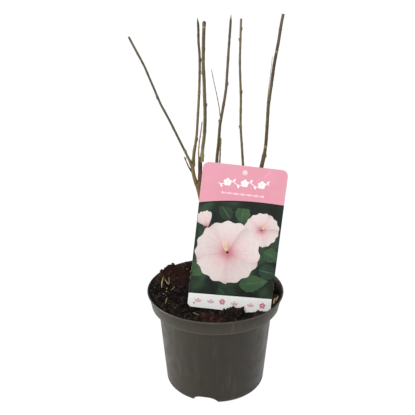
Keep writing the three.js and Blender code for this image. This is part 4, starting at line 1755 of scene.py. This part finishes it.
SHOOTS = {
    "far_left_shoot": Limb(
        LEFT_BOUGH.beside(0.97, -0.4), (-108.2, -40.4, 519.1), (1.6, 1.35), (0.2, -3, 0), (-0.2, -3, 0),
        kinks=((0.5, -1), (0.68, 0.6), (0.79, 1.7), (0.9, 0.7)),
    ),
    "left_shoot": Limb(
        LEFT_BOUGH.beside(0.95, 0.5), (-24.3, 61.9, 515.4), (1.75, 1.6), (5.8, 3, -6.9), (8.7, 4, 16.6),
        kinks=((0.1, -0.7), (0.2, 0.6), (0.82, -1.1)), old_wood=(0.185, 0.4),
    ),
    "centre_shoot": Limb(
        CENTRE_BOUGH.beside(0.88, 1.8), (-15.1, 2, 526.5), (2.25, 2.15), (9.5, 0, 0), (-3, 0, -2.5),
        kinks=((0.1, -0.8), (0.5, -0.3), (0.7, -0.6)),
    ),
    "back_shoot": Limb(
        MIDDLE_BOUGH.beside(0.96), (20.4, 88.1, 513.3), (2.2, 1.6), (-1.6, 3, 2.3), (3, 6, -3),
        kinks=((0.19, -0.8), (0.37, -1.4), (0.45, 0.7), (0.58, 1.7), (0.7, 0.6)),
    ),
    "right_shoot": Limb(
        RIGHT_BOUGH.beside(0.97, -1.2), (32.8, 52.2, 517.9), (1.75, 1.45), (-5.7, 2, 1), (-5.6, 4, -1.6),
        kinks=((0.45, -0.6), (0.61, 0.7), (0.8, -0.4)),
    ),
    "far_right_shoot": Limb(
        RIGHT_BOUGH.beside(0.97, 0.8), (82, -31.6, 545.4), (2.35, 1.85), (17.1, 2, 0), (-6.2, 4, -1),
        kinks=((0.35, 1.3), (0.57, -1.2), (0.87, 1.2)), old_wood=(0.35, 0.5),
    ),
}

SNAG = twig_on(LEFT_BOUGH, 0.58, (-12.7, -7.5, 28.3), (1.1, 0.6), (-3, 0, 0))
SNAG_PRONG = twig_on(SNAG, 0.78, (0.6, 1, 5), (0.7, 0.45))
CENTRE_TWIG = Limb(CENTRE_BOUGH.beside(0.98, -1.7), (-17.9, -5, 396.3), (0.85, 0.7), (-2.9, -2, 0))
CENTRE_TWIG_TONE = (128, 108, 106)
SNAG_TONE = (88, 78, 62)

# Twigs on the shoots, each with its bark colour
TWIGS = {
    "back_shoot": (
        (
            twig_on(SHOOTS["back_shoot"], 0.385, (-12.5, -18, 78.9), (0.7, 0.45), (3, 0, 0)),
            (140, 132, 120),
        ),
        (
            twig_on(SHOOTS["back_shoot"], 0.02, (7.4, -6, 70), (1.05, 1), (5.7, -1, 0)),
            (120, 104, 78),
        ),
    ),
    "far_right_shoot": (
        (
            twig_on(SHOOTS["far_right_shoot"], 0.458, (4, -12, 100), (0.5, 0.3), (-5, 0, 0)),
            (150, 140, 128),
        ),
    ),
}

# Buds: how far along the shoot, and which way they face in degrees from +X
BUDS = {
    "far_left_shoot": ((0.115, 60), (0.315, 250), (0.552, 180), (0.734, 90), (0.877, 140)),
    "left_shoot": ((0.186, 0), (0.348, 280), (0.477, 260), (0.687, 0), (0.857, 90)),
    "centre_shoot": ((0.04, 20), (0.225, 80), (0.42, 0), (0.653, 180), (0.82, 60)),
    "back_shoot": ((0.278, 0), (0.385, 180), (0.48, 90), (0.603, 0), (0.75, 280), (0.88, 100)),
    "right_shoot": (
        (0.3, 100), (0.454, 180), (0.54, 270), (0.633, 0), (0.78, 110), (0.895, 180), (0.947, 0),
    ),
    "far_right_shoot": ((0.313, 0), (0.465, 90), (0.6, 270), (0.72, 80), (0.93, 60)),
}

# Bark colours up each limb, as (share of its length, colour)
BARK = {
    "trunk": ((0, (92, 72, 54)), (0.5, (96, 74, 54)), (0.85, (104, 84, 58)), (1, (112, 92, 62))),
    "left_bough": ((0, (112, 92, 62)), (0.5, (122, 104, 70)), (1, (128, 112, 78))),
    "centre_bough": ((0, (92, 68, 50)), (0.85, (88, 64, 50)), (1, (96, 76, 60))),
    "middle_bough": ((0, (98, 80, 60)), (1, (94, 80, 60))),
    "right_bough": ((0, (98, 80, 60)), (1, (106, 90, 68))),
    "far_left_shoot": (
        (0, (138, 120, 82)), (0.03, (116, 106, 78)), (0.11, (112, 104, 78)),
        (0.14, (92, 86, 72)), (0.5, (96, 92, 82)), (1, (98, 93, 84)),
    ),
    "left_shoot": (
        (0, (124, 110, 76)), (0.05, (110, 103, 72)), (0.17, (112, 105, 74)), (0.2, (110, 98, 80)),
        (0.45, (116, 106, 88)), (0.49, (124, 112, 90)), (0.56, (98, 92, 68)), (1, (80, 75, 60)),
    ),
    "centre_shoot": (
        (0, (148, 148, 98)), (0.06, (140, 139, 92)), (0.1, (116, 108, 84)), (0.28, (88, 84, 58)),
        (0.5, (102, 96, 74)), (0.76, (98, 90, 70)), (1, (96, 88, 76)),
    ),
    "back_shoot": (
        (0, (92, 76, 56)), (0.25, (92, 80, 60)), (0.4, (104, 92, 76)), (0.85, (106, 95, 85)),
        (0.95, (82, 74, 66)), (1, (92, 84, 78)),
    ),
    "right_shoot": (
        (0, (84, 76, 60)), (0.3, (104, 98, 78)), (0.5, (108, 106, 80)), (0.62, (100, 98, 70)),
        (0.8, (108, 101, 84)), (1, (116, 109, 94)),
    ),
    "far_right_shoot": (
        (0, (94, 76, 56)), (0.3, (97, 80, 60)), (0.38, (82, 68, 50)), (0.5, (92, 80, 60)),
        (0.64, (100, 90, 70)), (0.75, (72, 66, 52)), (0.8, (76, 69, 55)), (1, (104, 97, 88)),
    ),
}
PALE_RING = (158, 147, 114)
SCAR = (150, 134, 104)
DARK_NODE = (58, 48, 38)
CUT_WOOD = (150, 140, 116)
PITH = (96, 84, 64)

# Pale rings where a year's growth ends, as shares of the shoot's length
RINGS = {
    "far_left_shoot": (0.125,),
    "left_shoot": (0.477,),
    "centre_shoot": (0.967,),
    "far_right_shoot": (0.363, 0.829),
}
TIPS = {
    "far_left_shoot": "cut",
    "left_shoot": "dead",
    "centre_shoot": "knob",
    "back_shoot": "dead",
    "right_shoot": "cut",
    "far_right_shoot": "cut",
}

# Tips: how far the end slants, and its profile as (share of the radius, rise in radii)
TIP_SHAPES = {
    "cut": (0.45, ((0.97, 0.12), (0.9, 0.2), (0.86, 0.1), (0.45, 0.06), (0.4, -0.12), (0.05, -0.15))),
    "knob": (0.1, ((0.96, 0.3), (0.82, 0.62), (0.58, 0.85), (0.3, 0.96), (0.05, 1.0))),
    "dead": (0.3, ((0.8, 0.25), (0.5, 0.5), (0.3, 0.4), (0.05, 0.35))),
}
TIP_BARK = 0.92
TIP_PITH = 0.42
SLANT_TURN = 0.6

SHOOT_STEP = 0.5
SHOOT_SIDES = 30
TWIG_STEP = 0.6
TWIG_SIDES = 14

# Smaller nodes between the buds: how far apart, how strong, and how irregular their places and sides are
NODE_SPACING = 19
MINOR_NODE = 0.3
NODE_SCATTER = 0.3
NODE_CLEARANCE = 0.45
NODE_TURN = 140
NODE_TURN_SCATTER = 60


def bark_colours(name, t):
    """The limb's own colour at each t, linear."""
    places = [stop[0] for stop in BARK[name]]
    tones = np.array([srgb(*stop[1]) for stop in BARK[name]])
    t = np.clip(t, 0, 1)
    return np.stack([np.interp(t, places, tones[:, c]) for c in range(3)], axis=-1)


def blend(colours, colour, mask):
    """Colours moved towards one colour by a mask."""
    return colours + (np.array(srgb(*colour)) - colours) * np.clip(mask, 0, 1)[..., None]


def all_nodes(name, limb):
    """The shoot's own buds, and smaller nodes between them, set by a seeded rule."""
    nodes = [(t, azimuth, 1.0) for t, azimuth in BUDS[name]]
    seed = len(name)
    count = int(limb.span / NODE_SPACING)
    for i in range(1, count):
        t = (i + NODE_SCATTER * (seeded(seed + i) - 0.5)) / count
        if min(abs(t - other[0]) for other in nodes) * limb.span > NODE_CLEARANCE * NODE_SPACING:
            azimuth = NODE_TURN * i + NODE_TURN_SCATTER * seeded(seed + 2 * i)
            nodes.append((t, azimuth, MINOR_NODE))
    return nodes


def turn_gap(turn, azimuth):
    """The angle between a side of a limb and a direction in degrees from +X."""
    gap = turn + math.radians(azimuth)
    return np.abs((gap + math.pi) % (2 * math.pi) - math.pi)


# A node: heights as shares of the shoot's radius, lengths and places along it in millimetres.
# It swells all round. Under the bud is a cushion, over it a notch, and a dark band lies below.
SWELL_HEIGHT = 0.1
SWELL_LENGTH = 2.4
FACING_TURN = 0.75
CUSHION_HEIGHT = 0.42
CUSHION_PLACE = -0.7
CUSHION_LENGTH = 1.3
NOTCH_DEPTH = 0.16
NOTCH_PLACE = 0.4
NOTCH_LENGTH = 0.5
SCAR_PLACE = -0.2
SCAR_LENGTH = 0.8
SCAR_TURN = 0.5
BAND_PLACE = -2.2
BAND_LENGTH = 1.6
BAND_BEHIND = 0.35

# A year's ring: its pale band, and the low ridge just over it
RING_LENGTH = 1.3
RING_RIDGE_HEIGHT = 0.1
RING_RIDGE_PLACE = 0.8
RING_RIDGE_LENGTH = 1.0


def shoot_relief(name, limb, t, turn, nodes):
    """How far the bark stands out from the plain taper, and the masks for its colours."""
    along = t * limb.span
    radius = limb.radius_at(t)
    rise = np.zeros(np.broadcast(t, turn).shape)
    dark = np.zeros_like(rise)
    scar = np.zeros_like(rise)
    ring = np.zeros_like(rise)
    for place, azimuth, weight in nodes:
        away = along - place * limb.span
        gap = turn_gap(turn, azimuth)
        facing = bump(gap, FACING_TURN)
        swell = SWELL_HEIGHT * bump(away, SWELL_LENGTH)
        cushion = CUSHION_HEIGHT * bump(away - CUSHION_PLACE, CUSHION_LENGTH)
        notch = NOTCH_DEPTH * bump(away - NOTCH_PLACE, NOTCH_LENGTH)
        rise = rise + weight * radius * (swell + (cushion - notch) * facing)
        scar = scar + weight * bump(away - SCAR_PLACE, SCAR_LENGTH) * bump(gap, SCAR_TURN)
        dark = dark + weight * bump(away - BAND_PLACE, BAND_LENGTH) * within((BAND_BEHIND, 1), facing)
    for place in RINGS.get(name, ()):
        away = along - place * limb.span
        ring = ring + bump(away, RING_LENGTH)
        rise = rise + RING_RIDGE_HEIGHT * radius * bump(away - RING_RIDGE_PLACE, RING_RIDGE_LENGTH)
    return rise, dark, scar, ring


PORE_SPACING = 5
PORE_LENGTH = (0.5, 0.85)
PORE_WIDTH = 0.32
PORE_WINDOW = 3
PORE_SEED = 7


def lenticels(limb, seed, along, turn):
    """Small raised pores, longer than they are wide."""
    mask = np.zeros(np.broadcast(along, turn).shape)
    count = int(limb.span / PORE_SPACING)
    for i in range(count):
        place = limb.span * (i + seeded(seed + i)) / count
        azimuth = 360 * seeded(seed + 3 * i + 1)
        length = within(PORE_LENGTH, seeded(seed + 5 * i + 2))
        near = np.abs(along[:, 0] - place) < PORE_WINDOW
        gap = turn_gap(turn, azimuth) * limb.radius[0]
        mask[near] += bump(along[near] - place, length) * bump(gap, PORE_WIDTH)
    return mask


def round_noise(turn, along, rate, stretch, seed):
    """Noise on a limb that meets itself round the limb, with a rate round it and a stretch along it."""
    place = np.broadcast_arrays(np.cos(turn) * rate, np.sin(turn) * rate, along * stretch)
    place = np.stack(place, axis=-1)
    return noise(place.reshape(-1, 3), seed=seed).reshape(place.shape[:-1])


def limb_rings(limb, t, radius, turn):
    """Rings of points at each t, with a radius for each side."""
    _, side, face = limb.axes(t)
    return rings_round(limb.point(t), side, face, radius, turn)


def tip_cap(rings, colours, kind, radius):
    """Closes a tip: a cut with its wood and pith, a rounded knob, or the broken end of dead wood."""
    slant, profile = TIP_SHAPES[kind]
    last = rings[-1]
    middle = last.mean(axis=0)
    along = unit(middle - rings[-4].mean(axis=0))
    sides = len(last)
    lean = np.cos(full_turn(sides) + SLANT_TURN)[:, None]
    extra, tones = [], []
    for share, rise in profile:
        place = middle + (last - middle) * share + along * rise * radius
        extra.append(place + along * slant * radius * (lean * share - lean))
        wood = CUT_WOOD if share > TIP_PITH else PITH
        tone = colours[-1] if kind == "knob" or share > TIP_BARK else np.array(srgb(*wood))
        tones.append(np.broadcast_to(tone, (sides, 3)))
    return np.concatenate([rings, np.array(extra)]), np.concatenate([colours, np.array(tones)])


# How a dead tip thins out and a knob swells: (share, over how many millimetres), and the knob's place
DEAD_TIP = (0.3, 9)
KNOB = (0.12, 3)
KNOB_PLACE = 1.5
TIP_OVERHANG = 0.6

# Noise on the shoots: how close it is round and along them, how high it stands, and how much it shades
GRAIN = (6, 0.22)
GRAIN_HEIGHT = 0.045
GRAIN_SHADE = 0.16
LUMPY = (1, 0.4)
LUMPY_HEIGHT = 0.05
LUMPY_SHADE = 0.1
LUMPY_SEED = 3
PORE_HEIGHT = 0.07

# How strongly the marks cover the bark
BAND_SHARE = 0.55
SCAR_SHARE = 0.8
PORE_SHARE = 0.7
RING_SHARE = 0.85


def shoot_shell(name, limb, nodes):
    """One shoot's bark as a fine tube with nodes, scars, pores and its tip, with its colours."""
    end = 1 - TIP_OVERHANG * limb.radius[1] / limb.span
    t = np.linspace(0, end, int(limb.span / SHOOT_STEP))[:, None]
    turn = full_turn(SHOOT_SIDES)[None, :]
    along = t * limb.span
    rise, dark, scar, ring = shoot_relief(name, limb, t, turn, nodes)
    pores = lenticels(limb, len(name) * PORE_SEED, along, turn)
    grain = round_noise(turn, along, *GRAIN, seed=len(name))
    lumpy = round_noise(turn, along, *LUMPY, seed=LUMPY_SEED)
    radius = limb.radius_at(t) * tip_taper(TIPS[name], limb.span * end - along) * np.ones_like(turn)
    radius = radius + rise + PORE_HEIGHT * pores + GRAIN_HEIGHT * grain + LUMPY_HEIGHT * lumpy
    rings = limb_rings(limb, t[:, 0], radius, turn[0])
    shade = 1 + GRAIN_SHADE * grain + LUMPY_SHADE * lumpy
    colours = bark_colours(name, t[:, 0])[:, None] * shade[..., None]
    colours = blend(colours, DARK_NODE, BAND_SHARE * dark)
    colours = blend(colours, SCAR, SCAR_SHARE * scar)
    colours = blend(colours, SCAR, PORE_SHARE * pores)
    colours = blend(colours, PALE_RING, RING_SHARE * ring)
    rings, colours = tip_cap(rings, colours, TIPS[name], limb.radius[1])
    return *tube_shell(rings), colours.reshape(-1, 3)


def tip_taper(kind, left):
    """What a shoot's radius is multiplied by, with so many millimetres left to its tip."""
    if kind == "dead":
        return within((DEAD_TIP[0], 1), smoothstep(left, 0, DEAD_TIP[1]))
    if kind == "knob":
        return 1 + KNOB[0] * bump(left - KNOB_PLACE, KNOB[1])
    return np.ones_like(left)


# A thin twig: its nodes, the dark band under each, and how it thins out to its tip
TWIG_NODE_SPACING = 9
TWIG_NODE_SCATTER = 0.4
TWIG_NODE_LENGTH = 0.9
TWIG_NODE_TURN = 0.9
TWIG_NODE_HEIGHTS = (0.12, 0.57)
TWIG_SEED_TURN = 40
TWIG_BAND = (0.22, 1)
TWIG_TIP = (0.35, 3)
TWIG_OVERHANG = 0.3
FEWEST_RINGS = 12


def twig_shell(limb, colour, seed):
    """A thin twig with small nodes and a pointed tip."""
    count = max(FEWEST_RINGS, int(limb.span / TWIG_STEP))
    t = np.linspace(0, 1 - TWIG_OVERHANG / limb.span, count)[:, None]
    turn = full_turn(TWIG_SIDES)[None, :]
    along = t * limb.span
    radius = limb.radius_at(t) * np.ones_like(turn)
    tone = np.ones(radius.shape)
    for i in range(1, int(limb.span / TWIG_NODE_SPACING) + 1):
        away = along - TWIG_NODE_SPACING * (i + TWIG_NODE_SCATTER * (seeded(seed + i) - 0.5))
        facing = bump(turn_gap(turn, NODE_TURN * i + TWIG_SEED_TURN * seed), TWIG_NODE_TURN)
        height = limb.radius[0] * within(TWIG_NODE_HEIGHTS, facing)
        radius = radius + height * bump(away, TWIG_NODE_LENGTH)
        tone = tone - TWIG_BAND[0] * bump(away + TWIG_BAND[1], 1)
    radius = radius * within((TWIG_TIP[0], 1), smoothstep(limb.span - along, 0, TWIG_TIP[1]))
    rings = limb_rings(limb, t[:, 0], radius, turn[0])
    colours = np.array(srgb(*colour)) * tone[..., None]
    rings, colours = tip_cap(rings, colours, "dead", limb.radius[1])
    return *tube_shell(rings), colours.reshape(-1, 3)


SNAG_SEED = 5
CENTRE_TWIG_SEED = 3


def make_shoots():
    """Each shoot with its twigs as one piece. Returns every node, for the buds."""
    bark = bark_material("young_bark", YOUNG_GRAIN)
    placed = []
    for name, limb in SHOOTS.items():
        nodes = all_nodes(name, limb)
        shells = [shoot_shell(name, limb, nodes)]
        shells += [twig_shell(*twig, seed) for seed, twig in enumerate(TWIGS.get(name, ()))]
        joined_piece(name + "_bark", shells, bark, [name])
        placed += [(limb, *node) for node in nodes]
    snag = [twig_shell(limb, SNAG_TONE, seed) for seed, limb in enumerate((SNAG, SNAG_PRONG), SNAG_SEED)]
    joined_piece("snag_bark", snag, bark, ["snag_twig"])
    centre_twig = twig_shell(CENTRE_TWIG, CENTRE_TWIG_TONE, CENTRE_TWIG_SEED)
    joined_piece("centre_twig_bark", [centre_twig], bark)
    return placed


# A bud: its size, its lean from the shoot, its scales, and how it is seated on its node
BUD_LENGTH = 3.6
BUD_WIDTH = 0.95
BUD_FLATNESS = 0.85
BUD_SPAN = (0.02, 0.98)
BUD_BASE = 0.75
BUD_FULLNESS = 0.8
BUD_LEAN = 0.3
BUD_SINK = 0.3
BUD_SEAT = 0.92
BUD_ROWS = 13
BUD_SIDES = 14
SCALE_HEIGHT = 0.1
SCALE_START = 0.1
SCALE_RATE = 16
SCALE_SKEW = 1.4
BUD_TONES = ((112, 98, 70), (86, 72, 52), (130, 120, 84))
BUD_DARKENING = 1.5
SCALE_LIGHT = 4


def bud_shell(limb, t, azimuth, weight, seed):
    """A small pointed bud of overlapping scales, seated on its node and leaning out from the shoot."""
    share = np.linspace(0, 1, BUD_ROWS)[:, None]
    turn = full_turn(BUD_SIDES)[None, :]
    profile = np.sin(math.pi * np.clip(share, *BUD_SPAN) ** BUD_BASE) ** BUD_FULLNESS
    skew = SCALE_SKEW * np.cos(turn * 2 + seed)
    scales = SCALE_HEIGHT * np.maximum(0, np.sin(share * SCALE_RATE + skew)) * (share > SCALE_START)
    radius = weight * BUD_WIDTH * profile * (1 + scales)
    height = weight * BUD_LENGTH * (share - BUD_SINK)
    rings = (radius * np.cos(turn), BUD_FLATNESS * radius * np.sin(turn), height)
    rings = np.stack(np.broadcast_arrays(*rings), axis=-1)
    rings = rings @ np.array(Matrix.Rotation(BUD_LEAN, 3, "Y")).T
    rings[..., 0] += float(limb.radius_at(t)) * BUD_SEAT
    rings = rings @ np.array(Matrix.Rotation(math.radians(azimuth), 3, "Z")).T + limb.point(t)[0]
    low, dark, high = (np.array(srgb(*c)) for c in BUD_TONES)
    colours = low + (dark - low) * np.clip(share * BUD_DARKENING, 0, 1)
    colours = colours[:, None] + (high - dark) * (scales * SCALE_LIGHT)[..., None]
    return *tube_shell(rings), colours.reshape(-1, 3)


def make_buds(placed):
    shells = [bud_shell(*bud, seed) for seed, bud in enumerate(placed)]
    return joined_piece("buds", shells, bark_material("bud_scales", BUD_GRAIN))


# The trunk with its boughs, and the collars where the shoots grow out of them
TRUNK_SIDES = 36
LIMB_SAMPLES = 160
TRUNK_VOXEL = 0.42
TRUNK_SMOOTHING = 6
END_ROUNDING = 3
SMALLEST_END = 0.02
COLLAR_LENGTH = 11
COLLAR_ROWS = 14
COLLAR_HEIGHTS = (0.25, 0.7)
COLLAR_CURVE = 1.5

# Old bark, as (how close it is round and along the limb), its height and its shade
RIDGES = (5, 0.16)
RIDGE_HEIGHT = 0.16
RIDGE_SHADE = 0.22
RIDGE_SEED = 2
CRACKS = (11, 0.384)
CRACK_HEIGHT = 0.08
CRACK_SHADE = 0.1
CRACK_SEED = 5
OLD_PORES = (0.72, 0.72, 0.43)
OLD_PORE_START = 0.55
OLD_PORE_HEIGHT = 0.4
OLD_PORE_SHARE = 1.6
OLD_PORE_SEED = 9


def make_trunk():
    """The trunk and its boughs grown together, with collars round the feet of the shoots."""
    shells = [bough_shell(limb) for limb in BOUGHS.values()]
    shells += [collar_shell(limb) for limb in SHOOTS.values()]
    trunk = closed_object("trunk_and_boughs", join_shells(shells))
    grow_together(trunk)
    carve_old_bark(trunk.data)
    return finish_piece(trunk, bark_material("old_bark", OLD_GRAIN), list(BOUGHS))


def plain_tube(limb, t, radius):
    """A smooth tube along a limb, with a radius at each t."""
    rings = radius[:, None] * np.ones((1, TRUNK_SIDES))
    return tube_shell(limb_rings(limb, t, rings, full_turn(TRUNK_SIDES)))


def bough_shell(limb):
    """A bough that is rounded at its end."""
    t = np.linspace(0.0, 1.0, LIMB_SAMPLES)
    left = np.clip(limb.span * (1 - t) / END_ROUNDING, SMALLEST_END, 1)
    return plain_tube(limb, t, limb.radius_at(t) * np.sqrt(1 - (1 - left) ** 2))


def collar_shell(limb):
    """The swollen foot of a shoot, that thins out into it."""
    t = np.linspace(0.0, COLLAR_LENGTH / limb.span, COLLAR_ROWS)
    swell = COLLAR_HEIGHTS[0] + COLLAR_HEIGHTS[1] * (1 - t / t[-1]) ** COLLAR_CURVE
    return plain_tube(limb, t, limb.radius_at(t) + swell)


def grow_together(trunk):
    """Makes one smooth surface of limbs that run into each other."""
    remesh = trunk.modifiers.new("remesh", "REMESH")
    remesh.mode = "VOXEL"
    remesh.voxel_size = TRUNK_VOXEL * MM
    smooth = trunk.modifiers.new("smooth", "SMOOTH")
    smooth.iterations = TRUNK_SMOOTHING
    apply_modifiers(trunk)


def carve_old_bark(mesh):
    """Gives the trunk and boughs their ridges, cracks and pores, and their colours."""
    points = np.array([v.co for v in mesh.vertices]) / MM
    normals = np.array([v.normal for v in mesh.vertices])
    limbs = {**BOUGHS, **SHOOTS}
    nearest, t, turn, along = nearest_on_limbs(points, limbs.values())
    ridges = round_noise(turn, along, *RIDGES, seed=RIDGE_SEED)
    cracks = round_noise(turn, along, *CRACKS, seed=CRACK_SEED)
    pores = np.clip(noise(points * OLD_PORES, seed=OLD_PORE_SEED) - OLD_PORE_START, 0, 1)
    rise = RIDGE_HEIGHT * ridges + CRACK_HEIGHT * cracks + OLD_PORE_HEIGHT * pores
    points = points + normals * rise[:, None]
    points[:, 2] = np.maximum(points[:, 2], SOIL_LEVEL - TRUNK_DEPTH)
    mesh.vertices.foreach_set("co", (points * MM).ravel())
    colours = np.zeros((len(points), 3))
    for i, name in enumerate(limbs):
        mine = nearest == i
        colours[mine] = bark_colours(name, t[mine])
    colours *= (1 + RIDGE_SHADE * ridges + CRACK_SHADE * cracks)[:, None]
    tint(mesh, blend(colours, SCAR, OLD_PORE_SHARE * pores))


# How many points are measured at once, which bounds the memory that this takes
POINTS_AT_ONCE = 20000


def nearest_on_limbs(points, limbs):
    """For each point: the nearest limb, the place t on it, the angle round it and the length up it."""
    best = np.full(len(points), np.inf)
    nearest = np.zeros(len(points), int)
    where = np.zeros(len(points))
    turn = np.zeros(len(points))
    along = np.zeros(len(points))
    t = np.linspace(0, 1, LIMB_SAMPLES)
    for i, limb in enumerate(limbs):
        line = limb.point(t)
        radius = limb.radius_at(t)
        for start in range(0, len(points), POINTS_AT_ONCE):
            part = slice(start, start + POINTS_AT_ONCE)
            gaps = np.linalg.norm(points[part, None] - line[None], axis=2) - radius[None]
            pick = gaps.argmin(axis=1)
            gap = gaps[np.arange(len(pick)), pick]
            closer = gap < best[part]
            index = np.arange(start, start + len(pick))[closer]
            chosen = t[pick[closer]]
            _, side, face = limb.axes(chosen)
            off = points[index] - limb.point(chosen)
            best[index] = gap[closer]
            nearest[index] = i
            where[index] = chosen
            turn[index] = np.arctan2((off * face).sum(axis=1), (off * side).sum(axis=1))
            along[index] = chosen * limb.span
    return nearest, where, turn, along


# Studio


CAMERA_PLACE = (-11, -1400, 899.3)
CAMERA_PITCH = math.radians(24.18)
FOCAL_PIXELS = 1136.3
PICTURE_PIXELS = 415
SENSOR = 36


def make_camera():
    data = bpy.data.cameras.new("camera")
    data.sensor_width = SENSOR
    data.lens = SENSOR * FOCAL_PIXELS / PICTURE_PIXELS
    camera = bpy.data.objects.new("camera", data)
    bpy.context.scene.collection.objects.link(camera)
    forward = Vector((0, math.cos(CAMERA_PITCH), -math.sin(CAMERA_PITCH)))
    up = Vector((0, math.sin(CAMERA_PITCH), math.cos(CAMERA_PITCH)))
    turn = Matrix((Vector((1, 0, 0)), up, -forward)).transposed().to_4x4()
    camera.matrix_world = Matrix.Translation(Vector(CAMERA_PLACE) * MM) @ turn
    bpy.context.scene.camera = camera


# The painted contact shadow under the pot: the radii over which the floor's glow comes back, and where the
# shadow stops beside a pocket, as cosines of the turn from it
CONTACT_SHADOW_RING = (60, 62.5)
POCKET_SECTOR = (0.55, 0.7)
FLOOR_SIZE = 14
FLOOR_GREY = 0.06
FLOOR_GLOW = 0.99
FLOOR_ROUGHNESS = 0.9


def make_floor():
    """A white floor that is lit from below, as a light table is, so it takes no dark shadow.

    It is dark where the pot stands, out to a thin painted contact shadow round its foot, but light under
    its pockets.
    """
    corners = [(-1, -1, 0), (1, -1, 0), (1, 1, 0), (-1, 1, 0)]
    mesh = bpy.data.meshes.new("floor")
    mesh.from_pydata((FLOOR_SIZE * np.array(corners)).tolist(), [], [[0, 1, 2, 3]])
    mesh.materials.append(floor_material())
    object_from(mesh)


def floor_material():
    paint = Painter("studio_floor", specular=0.1)
    paint.rough(FLOOR_ROUGHNESS)
    paint.colour((FLOOR_GREY, FLOOR_GREY, FLOOR_GREY))
    paint.shader.inputs["Emission Color"].default_value = (1, 1, 1, 1)
    azimuth, radius, _ = round_place(paint)
    lobes = paint.maths("MULTIPLY", paint.maths("SUBTRACT", azimuth, FIRST_POCKET_AZIMUTH), POCKET_COUNT)
    at_pocket = paint.remap(paint.maths("COSINE", lobes), *POCKET_SECTOR, 0, 1)
    # Painted contact shadow: the glow fades out towards the pot's foot
    clear = paint.fade(radius, *CONTACT_SHADOW_RING, 0, 1)
    glow = paint.maths("MULTIPLY", paint.maths("MAXIMUM", at_pocket, clear), FLOOR_GLOW)
    paint.link(glow, paint.shader.inputs["Emission Strength"])
    return paint.material


# Round area lights, in metres and watts: name, place, size and power. All face the pot.
LIGHTS = (
    ("key", (-0.6, -2.3, 1.9), 1.6, 50),
    ("left", (-1.7, 0.15, 0.5), 1.0, 32),
    ("right", (1.7, 0.3, 0.7), 1.0, 1.5),
)
LIGHT_TARGET = Vector((0, 0, 0.2))
WORLD_LIGHT = 0.38


def area_light(name, place, size, power):
    data = bpy.data.lights.new(name, "AREA")
    data.shape = "DISK"
    data.size = size
    data.energy = power
    light = bpy.data.objects.new(name, data)
    bpy.context.scene.collection.objects.link(light)
    light.location = place
    light.rotation_mode = "QUATERNION"
    light.rotation_quaternion = (LIGHT_TARGET - Vector(place)).to_track_quat("-Z", "Y")


def make_lights():
    world = bpy.data.worlds.new("studio")
    world.use_nodes = True
    background = world.node_tree.nodes["Background"]
    background.inputs["Color"].default_value = (1, 1, 1, 1)
    background.inputs["Strength"].default_value = WORLD_LIGHT
    bpy.context.scene.world = world
    for light in LIGHTS:
        area_light(*light)


def main():
    bpy.context.scene.view_settings.view_transform = "Standard"
    make_camera()
    make_floor()
    make_lights()
    make_pot()
    make_soil_bed()
    make_soil_grains()
    make_straws()
    make_label()
    make_trunk()
    make_buds(make_shoots())


main()
bpy.context.view_layer.update()
